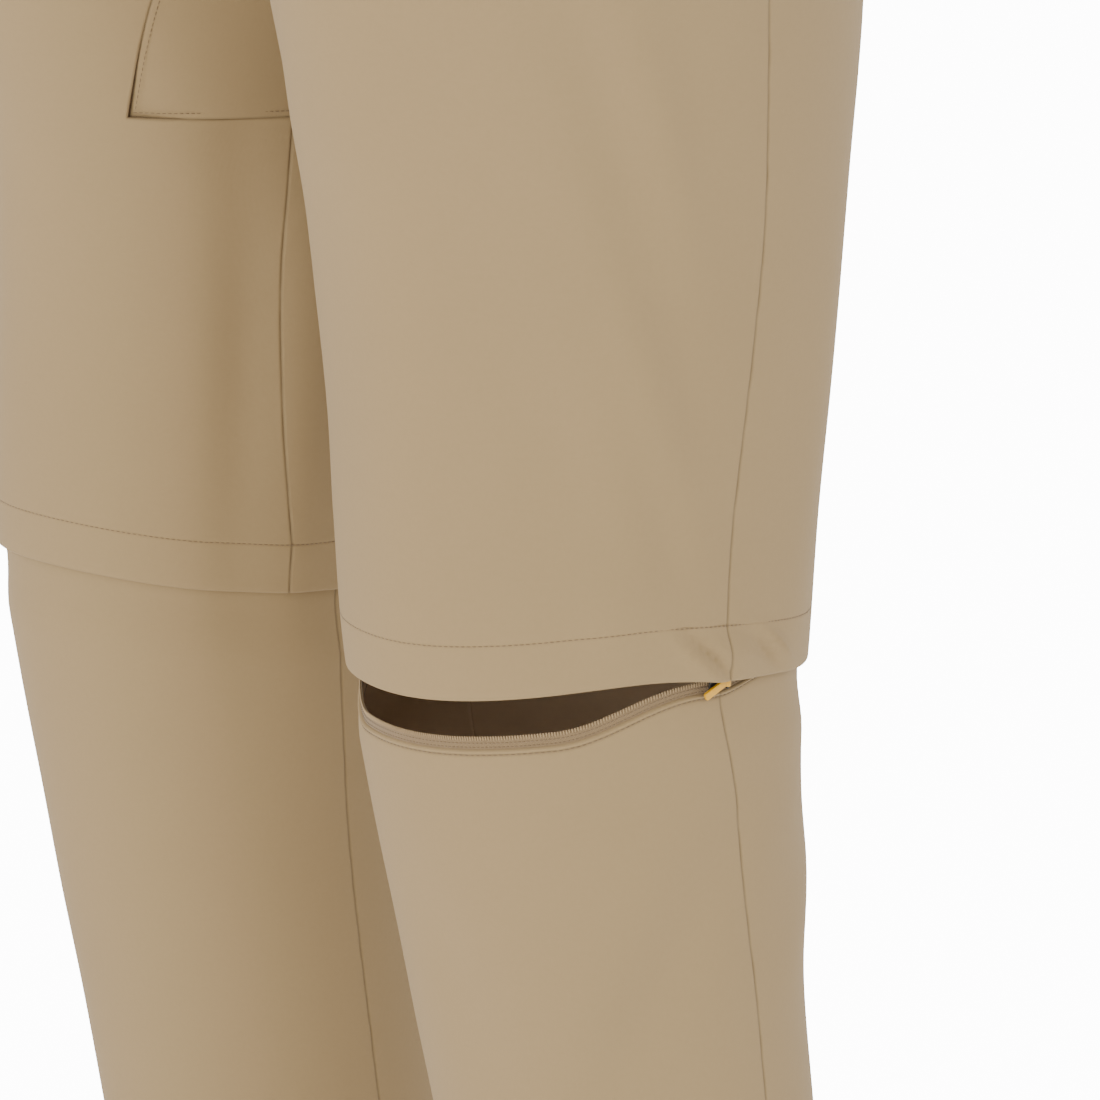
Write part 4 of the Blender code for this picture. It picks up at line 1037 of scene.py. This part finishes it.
def plain_material(name, colour, roughness, metallic, rough_spread, scratch):
    """A smooth finish whose roughness and colour are broken up by fine noise."""
    material = bpy.data.materials.new(name)
    material.use_nodes = True
    nodes, links = material.node_tree.nodes, material.node_tree.links
    shader = nodes["Principled BSDF"]
    shader.inputs["Metallic"].default_value = metallic
    place = nodes.new("ShaderNodeTexCoord")
    noise = nodes.new("ShaderNodeTexNoise")
    noise.inputs["Scale"].default_value = 900.0
    noise.inputs["Detail"].default_value = 4.0
    links.new(place.outputs["Object"], noise.inputs["Vector"])
    spread = nodes.new("ShaderNodeMapRange")
    spread.inputs["To Min"].default_value = roughness - rough_spread
    spread.inputs["To Max"].default_value = roughness + rough_spread
    links.new(noise.outputs["Fac"], spread.inputs["Value"])
    links.new(spread.outputs["Result"], shader.inputs["Roughness"])
    tint = nodes.new("ShaderNodeMix")
    tint.data_type = "RGBA"
    tint.inputs["A"].default_value = (*[c * 0.85 for c in colour], 1.0)
    tint.inputs["B"].default_value = (*[min(1.0, c * 1.15) for c in colour], 1.0)
    links.new(noise.outputs["Fac"], tint.inputs["Factor"])
    links.new(tint.outputs["Result"], shader.inputs["Base Color"])
    bump = nodes.new("ShaderNodeBump")
    bump.inputs["Strength"].default_value = scratch
    bump.inputs["Distance"].default_value = 0.0001
    links.new(noise.outputs["Fac"], bump.inputs["Height"])
    links.new(bump.outputs["Normal"], shader.inputs["Normal"])
    return material


def rounded_boxes(name, boxes, place, bevel):
    """Boxes with rounded edges in one mesh, each from its two corners."""
    shape = bmesh.new()
    for low, high in boxes:
        made = bmesh.ops.create_cube(shape, size=1.0)["verts"]
        for v in made:
            v.co = Vector([lo + (hi - lo) * (co + 0.5) for lo, hi, co in zip(low, high, v.co)])
    bmesh.ops.bevel(shape, geom=shape.edges[:], offset=bevel, segments=3, profile=0.5, affect="EDGES")
    shape.transform(place)
    bmesh.ops.recalc_face_normals(shape, faces=shape.faces)
    mesh = bpy.data.meshes.new(name)
    shape.to_mesh(mesh)
    shape.free()
    return smooth_piece(name, mesh)


def slider():
    """Two plates, a post at the open end, and the bridge on the outer plate."""
    middle, forward, across, out = slider_frame()
    long, wide, post = SLIDER_LENGTH / 2, SLIDER_WIDTH / 2, POST_WIDTH / 2
    low, high = -BRIDGE_DROP - BRIDGE_SPAN / 2, -BRIDGE_DROP + BRIDGE_SPAN / 2
    bar_back, bar_front = -BRIDGE_BACK - BAR_RADIUS, -BRIDGE_BACK + BAR_RADIUS
    crown = BAR_OUT + BAR_RADIUS
    boxes = [
        ((-long, -wide, CHANNEL), (long, wide, SLIDER_FACE)),
        ((-long, -wide, -SLIDER_FACE), (long, wide, -CHANNEL)),
        ((long - POST_LENGTH, -post, -CHANNEL - WELD), (long - WELD, post, CHANNEL + WELD)),
        ((-long, -wide, CHANNEL - LIP_DROP), (long - LIP_SHORTER, -wide + LIP, SLIDER_FACE)),
        ((-long, wide - LIP, CHANNEL - LIP_DROP), (long - LIP_SHORTER, wide, SLIDER_FACE)),
        ((bar_back, low, SLIDER_FACE - WELD), (bar_front, low + BRIDGE_LEG, crown)),
        ((bar_back, high - BRIDGE_LEG, SLIDER_FACE - WELD), (bar_front, high, crown)),
        ((bar_back, low + WELD / 2, BAR_OUT - BAR_RADIUS), (bar_front, high - WELD / 2, crown)),
    ]
    turned = Matrix.Translation(middle) @ Matrix((forward, across, out)).transposed().to_4x4()
    piece = rounded_boxes("left_zip_slider_metal", boxes, turned, SLIDER_BEVEL)
    metal = plain_material("dark slider metal", DARK_METAL, 0.42, 0.75, 0.10, 0.2)
    dress(piece, metal, "slider", "trousers", "left_zip_slider")


def pull_tab():
    """A flat tab with rounded corners and an eye round the bridge's bar."""
    middle, forward, across, out = slider_frame()
    hinge = middle - forward * BRIDGE_BACK - across * BRIDGE_DROP + out * BAR_OUT
    half, wide, skew = BRIDGE_SPAN / 2 - BRIDGE_LEG - SEAM_GAP, TAB_WIDTH / 2, math.radians(-TAB_SKEW)
    shape = bmesh.new()
    blade = []
    x, y = TAB_LENGTH - TAB_CORNER, wide - TAB_CORNER
    for y, turn in ((-y, -90), (y, 0)):
        for k in range(6):
            a = math.radians(turn + 18 * k)
            blade.append((x + TAB_CORNER * math.cos(a), y + TAB_CORNER * math.sin(a)))
    blade = [(TAB_NECK, -wide)] + blade + [(TAB_NECK, wide)]
    turned = [(TAB_NECK + (x - TAB_NECK) * math.cos(skew) - y * math.sin(skew),
               y * math.cos(skew) + (x - TAB_NECK) * math.sin(skew)) for x, y in blade]
    outline = [(EYE_OUTER - EYE_LAP, half), (EYE_OUTER - EYE_LAP, -half)] + turned
    base = shape.faces.new([shape.verts.new((x, y, -TAB_THICK / 2)) for x, y in outline])
    grown = bmesh.ops.extrude_face_region(shape, geom=[base])["geom"]
    top = [v for v in grown if isinstance(v, bmesh.types.BMVert)]
    bmesh.ops.translate(shape, vec=(0, 0, TAB_THICK), verts=top)
    bmesh.ops.bevel(shape, geom=shape.edges[:], offset=TAB_BEVEL, segments=3, profile=0.5, affect="EDGES")
    turns = [2 * math.pi * k / EYE_SIDES for k in range(EYE_SIDES)]
    rings = []
    for radius, y in ((EYE_OUTER, -half), (EYE_OUTER, half), (EYE_INNER, half), (EYE_INNER, -half)):
        rings.append([shape.verts.new((radius * math.cos(a), y, radius * math.sin(a))) for a in turns])
    for ring, after in zip(rings, rings[1:] + rings[:1]):
        for k in range(EYE_SIDES):
            n = (k + 1) % EYE_SIDES
            shape.faces.new((ring[k], ring[n], after[n], after[k]))
    shape.transform(Matrix.Translation(hinge) @ Matrix((forward, across, out)).transposed().to_4x4())
    bmesh.ops.recalc_face_normals(shape, faces=shape.faces)
    mesh = bpy.data.meshes.new("left_pull_tab_plastic")
    shape.to_mesh(mesh)
    shape.free()
    plastic = plain_material("yellow tab plastic", YELLOW, 0.38, 0.0, 0.08, 0.15)
    dress(smooth_piece("left_pull_tab_plastic", mesh), plastic, "pull_tab", "pull_tab", "left_pull_tab")


slider()
pull_tab()

# Ankle hems
# The foot of each lower leg is folded up 25 mm and held by one row of stitches.
for word, side in SIDES:
    z, inset = folded_profile(ANKLE_STITCH_Z, ANKLE_HEM_Z, HEM_THICK, 0.0030)
    t = spaced(0, 1, 0.0036 / girth(ANKLE_HEM_Z))[None, :-1]
    z, inset = z[:, None], inset[:, None]
    stitch = np.where(inset < HEM_THICK / 2, np.abs(z - ANKLE_STITCH_Z), 1.0) + 0 * t
    hem_ring(word + "_ankle_band", side, t, z, inset, stitch_dip(stitch), 0 * stitch)
    sew_on_cloth(word + "_ankle_hem_stitches", side, ROUND_T, ANKLE_STITCH_Z + 0 * ROUND_T, STITCH_DIP)

# Waistband
# One folded strip is sewn round the waist. Its left end laps over the right one at the
# front, and a row of topstitches follows both edges.
BAND_THICK = 0.0024
WAIST_LAP = 0.045
LAP_PAST_MIDDLE = 0.88
LAP_RUN_FROM = 0.42
LAP_RUN = 0.30
BAND_EDGE_STITCH = 0.0030
BAND_STITCH_BOW = 0.0001


def waist_point(angle, z, out):
    """The waist oval at an angle from the centre front, towards the wearer's left, moved out."""
    depth = np.where(np.cos(angle) > 0, torso("front", z), torso("back", z))
    x = (torso("half_width", z) + out) * np.sin(angle)
    return np.stack([x, -(depth + out) * np.cos(angle), z + 0 * x], -1)


def lap_lift(angle):
    """How far the band stands out: flush all round, and one band's thickness where it laps."""
    return (BAND_THICK + SEAM_GAP) * smooth((angle - 2 * math.pi + LAP_RUN_FROM) / LAP_RUN)


lap = WAIST_LAP / torso("front", 0.0)
band_angles = np.linspace(2 * math.pi + LAP_PAST_MIDDLE * lap, (LAP_PAST_MIDDLE - 1) * lap, 360)


def waistband():
    """The band's wall, rounded at its top and foot, with a faint groove under each topstitch."""
    z = spaced(WAISTBAND_TOP, WAISTBAND_FOOT, 0.0024, (WAISTBAND_TOP, WAISTBAND_FOOT), 0.0016)[:, None]
    angle = band_angles[None, :]
    edge = np.minimum(WAISTBAND_TOP - z, z - WAISTBAND_FOOT)
    drawn = drawn_in(edge, BAND_THICK)
    groove = 0.00025 * np.exp(-((edge - BAND_EDGE_STITCH) / 0.0007) ** 2)
    lift = lap_lift(angle)
    outer = waist_point(-angle, z, lift - drawn - groove)
    inner = waist_point(-angle, z, lift - BAND_THICK + drawn)
    # Painted shade along each topstitch groove, at half strength.
    seam = np.exp(-((edge - BAND_EDGE_STITCH) / 0.0007) ** 2) * 0.5 + 0 * angle
    flat = np.stack([angle * 0.14 + 0 * z, z + 0 * angle], -1)
    piece = closed_shell("waistband_cloth", outer, inner, seam=seam, flat=flat)
    dress(piece, CLOTH_MATERIAL, "cloth", "trousers", "waistband")


def band_stitches(name, z):
    line = waist_point(-band_angles, z, lap_lift(band_angles) - 0.0002)
    out = line * (1, 1, 0)
    out /= np.linalg.norm(out, axis=-1, keepdims=True)
    sew(name, line, out, lift=0.0, bow=BAND_STITCH_BOW)


waistband()
band_stitches("waistband_top_stitches", WAISTBAND_TOP - BAND_EDGE_STITCH)
band_stitches("waistband_foot_stitches", WAISTBAND_FOOT + BAND_EDGE_STITCH)

# Fly
# The left front's edge is doubled over the fly zip and held by a curved row of stitches.
FLY_CLOTH = 0.0010
FLY_LIFT = 0.0004
FLY_SINK = 0.0001
FLY_T = 0.0560
FLY_FOOT_Z = -0.150


def fly_side(z):
    """The fly's outer edge: straight, then rounded in to the middle at its foot."""
    down = np.clip((z - WAISTBAND_FOOT) / (FLY_FOOT_Z - WAISTBAND_FOOT), 0, 1)
    return FLY_T * np.sqrt(np.clip(1 - np.clip((down - 0.72) / 0.28, 0, 1) ** 2, 0, 1))


def fly_flap():
    """A doubled edge laid on the left front, thicker by one layer and rounded at its side."""
    z = spaced(WAISTBAND_FOOT - SEAM_GAP, FLY_FOOT_Z + 0.001, 0.0030, (FLY_FOOT_Z,), 0.01)[:, None]
    share = spaced(0, 1, 0.08, (1,), 0.06)[None, :]
    t = fly_side(z) * share
    edge = (1 - share) * fly_side(z) * 0.33 + 0 * z
    drawn = drawn_in(edge, FLY_CLOTH)
    outer = on_cloth(1, t, z + 0 * t, FLY_LIFT + FLY_CLOTH - drawn)
    inner = on_cloth(1, t, z + 0 * t, -FLY_SINK)
    for grid in (outer, inner):
        grid[..., 0] = np.maximum(grid[..., 0], 0)
    flat = np.stack([t * 0.6, z + 0 * t], -1)
    piece = closed_shell("fly_flap_cloth", outer, inner, flip=True, flat=flat)
    dress(piece, CLOTH_MATERIAL, "cloth", "trousers", "fly_flap")
    z = np.linspace(WAISTBAND_FOOT, FLY_FOOT_Z + 0.002, 120)
    sew_on_cloth("fly_stitches", 1, fly_side(z) * 0.86, z, FLY_LIFT + FLY_CLOTH - 0.0001)


fly_flap()

# Waist button
# A moulded four-hole button with a raised rim closes the lapped end of the waistband.
BUTTON_ON_LAP = 0.30
BUTTON_DIAMETER = 0.017
BUTTON_THICK = 0.0028
BUTTON_LIFT = 0.0006
BUTTON_THREAD = 0.0004
BUTTON_THREAD_BOW = 0.0003
BUTTON_HOLE_OUT = 0.0018
BUTTON_BROWN = (0.13, 0.095, 0.06)


def button():
    """A profile turned about the button's axis with a sunk centre, and two crossed threads over the places of
    its four holes.
    """
    radius = BUTTON_DIAMETER / 2
    profile = ((0.0, 0.0), (0.86, 0.0), (0.95, 0.10), (1.0, 0.35), (0.99, 0.75), (0.92, 0.97), (0.80, 1.0),
               (0.70, 0.94), (0.60, 0.66), (0.50, 0.60), (0.0, 0.58))
    turned = bmesh.new()
    chain = [turned.verts.new((r * radius, 0, h * BUTTON_THICK)) for r, h in profile]
    edges = [turned.edges.new(pair) for pair in zip(chain, chain[1:])]
    bmesh.ops.spin(turned, geom=chain + edges, axis=(0, 0, 1), cent=(0, 0, 0), angle=2 * math.pi, steps=64)
    bmesh.ops.remove_doubles(turned, verts=turned.verts, dist=1e-6)
    bmesh.ops.recalc_face_normals(turned, faces=turned.faces)
    angle = -BUTTON_ON_LAP * lap
    out = BAND_THICK + 2 * SEAM_GAP + BUTTON_LIFT
    centre = Vector(waist_point(np.array([angle]), np.array([0.0]), out)[0])
    normal = Vector((math.sin(angle) / torso("half_width", 0.0), -math.cos(angle) / torso("front", 0.0), 0))
    stand = Matrix.Translation(centre) @ normal.normalized().to_track_quat("Z", "Y").to_matrix().to_4x4()
    turned.transform(stand)
    mesh = bpy.data.meshes.new("waist_button_plastic")
    turned.to_mesh(mesh)
    turned.free()
    mesh.shade_smooth()
    brown = plain_material("button plastic", BUTTON_BROWN, 0.4, 0.0, 0.1, 0.1)
    dress(placed("waist_button_plastic", mesh), brown, "button", "trousers", "waist_button")
    top, bottom, face = BUTTON_HOLE_OUT, -BUTTON_HOLE_OUT, 0.62 * BUTTON_THICK
    start = np.array([stand @ Vector(p) for p in ((top, top, face), (bottom, top, face))])
    end = np.array([stand @ Vector(p) for p in ((bottom, bottom, face), (top, bottom, face))])
    out = np.array([normal.normalized()] * 2)
    crossed = capsules("button_thread", start, end, out, BUTTON_THREAD, BUTTON_THREAD_BOW)
    dress(crossed, THREAD_MATERIAL, "cloth", "trousers")


button()
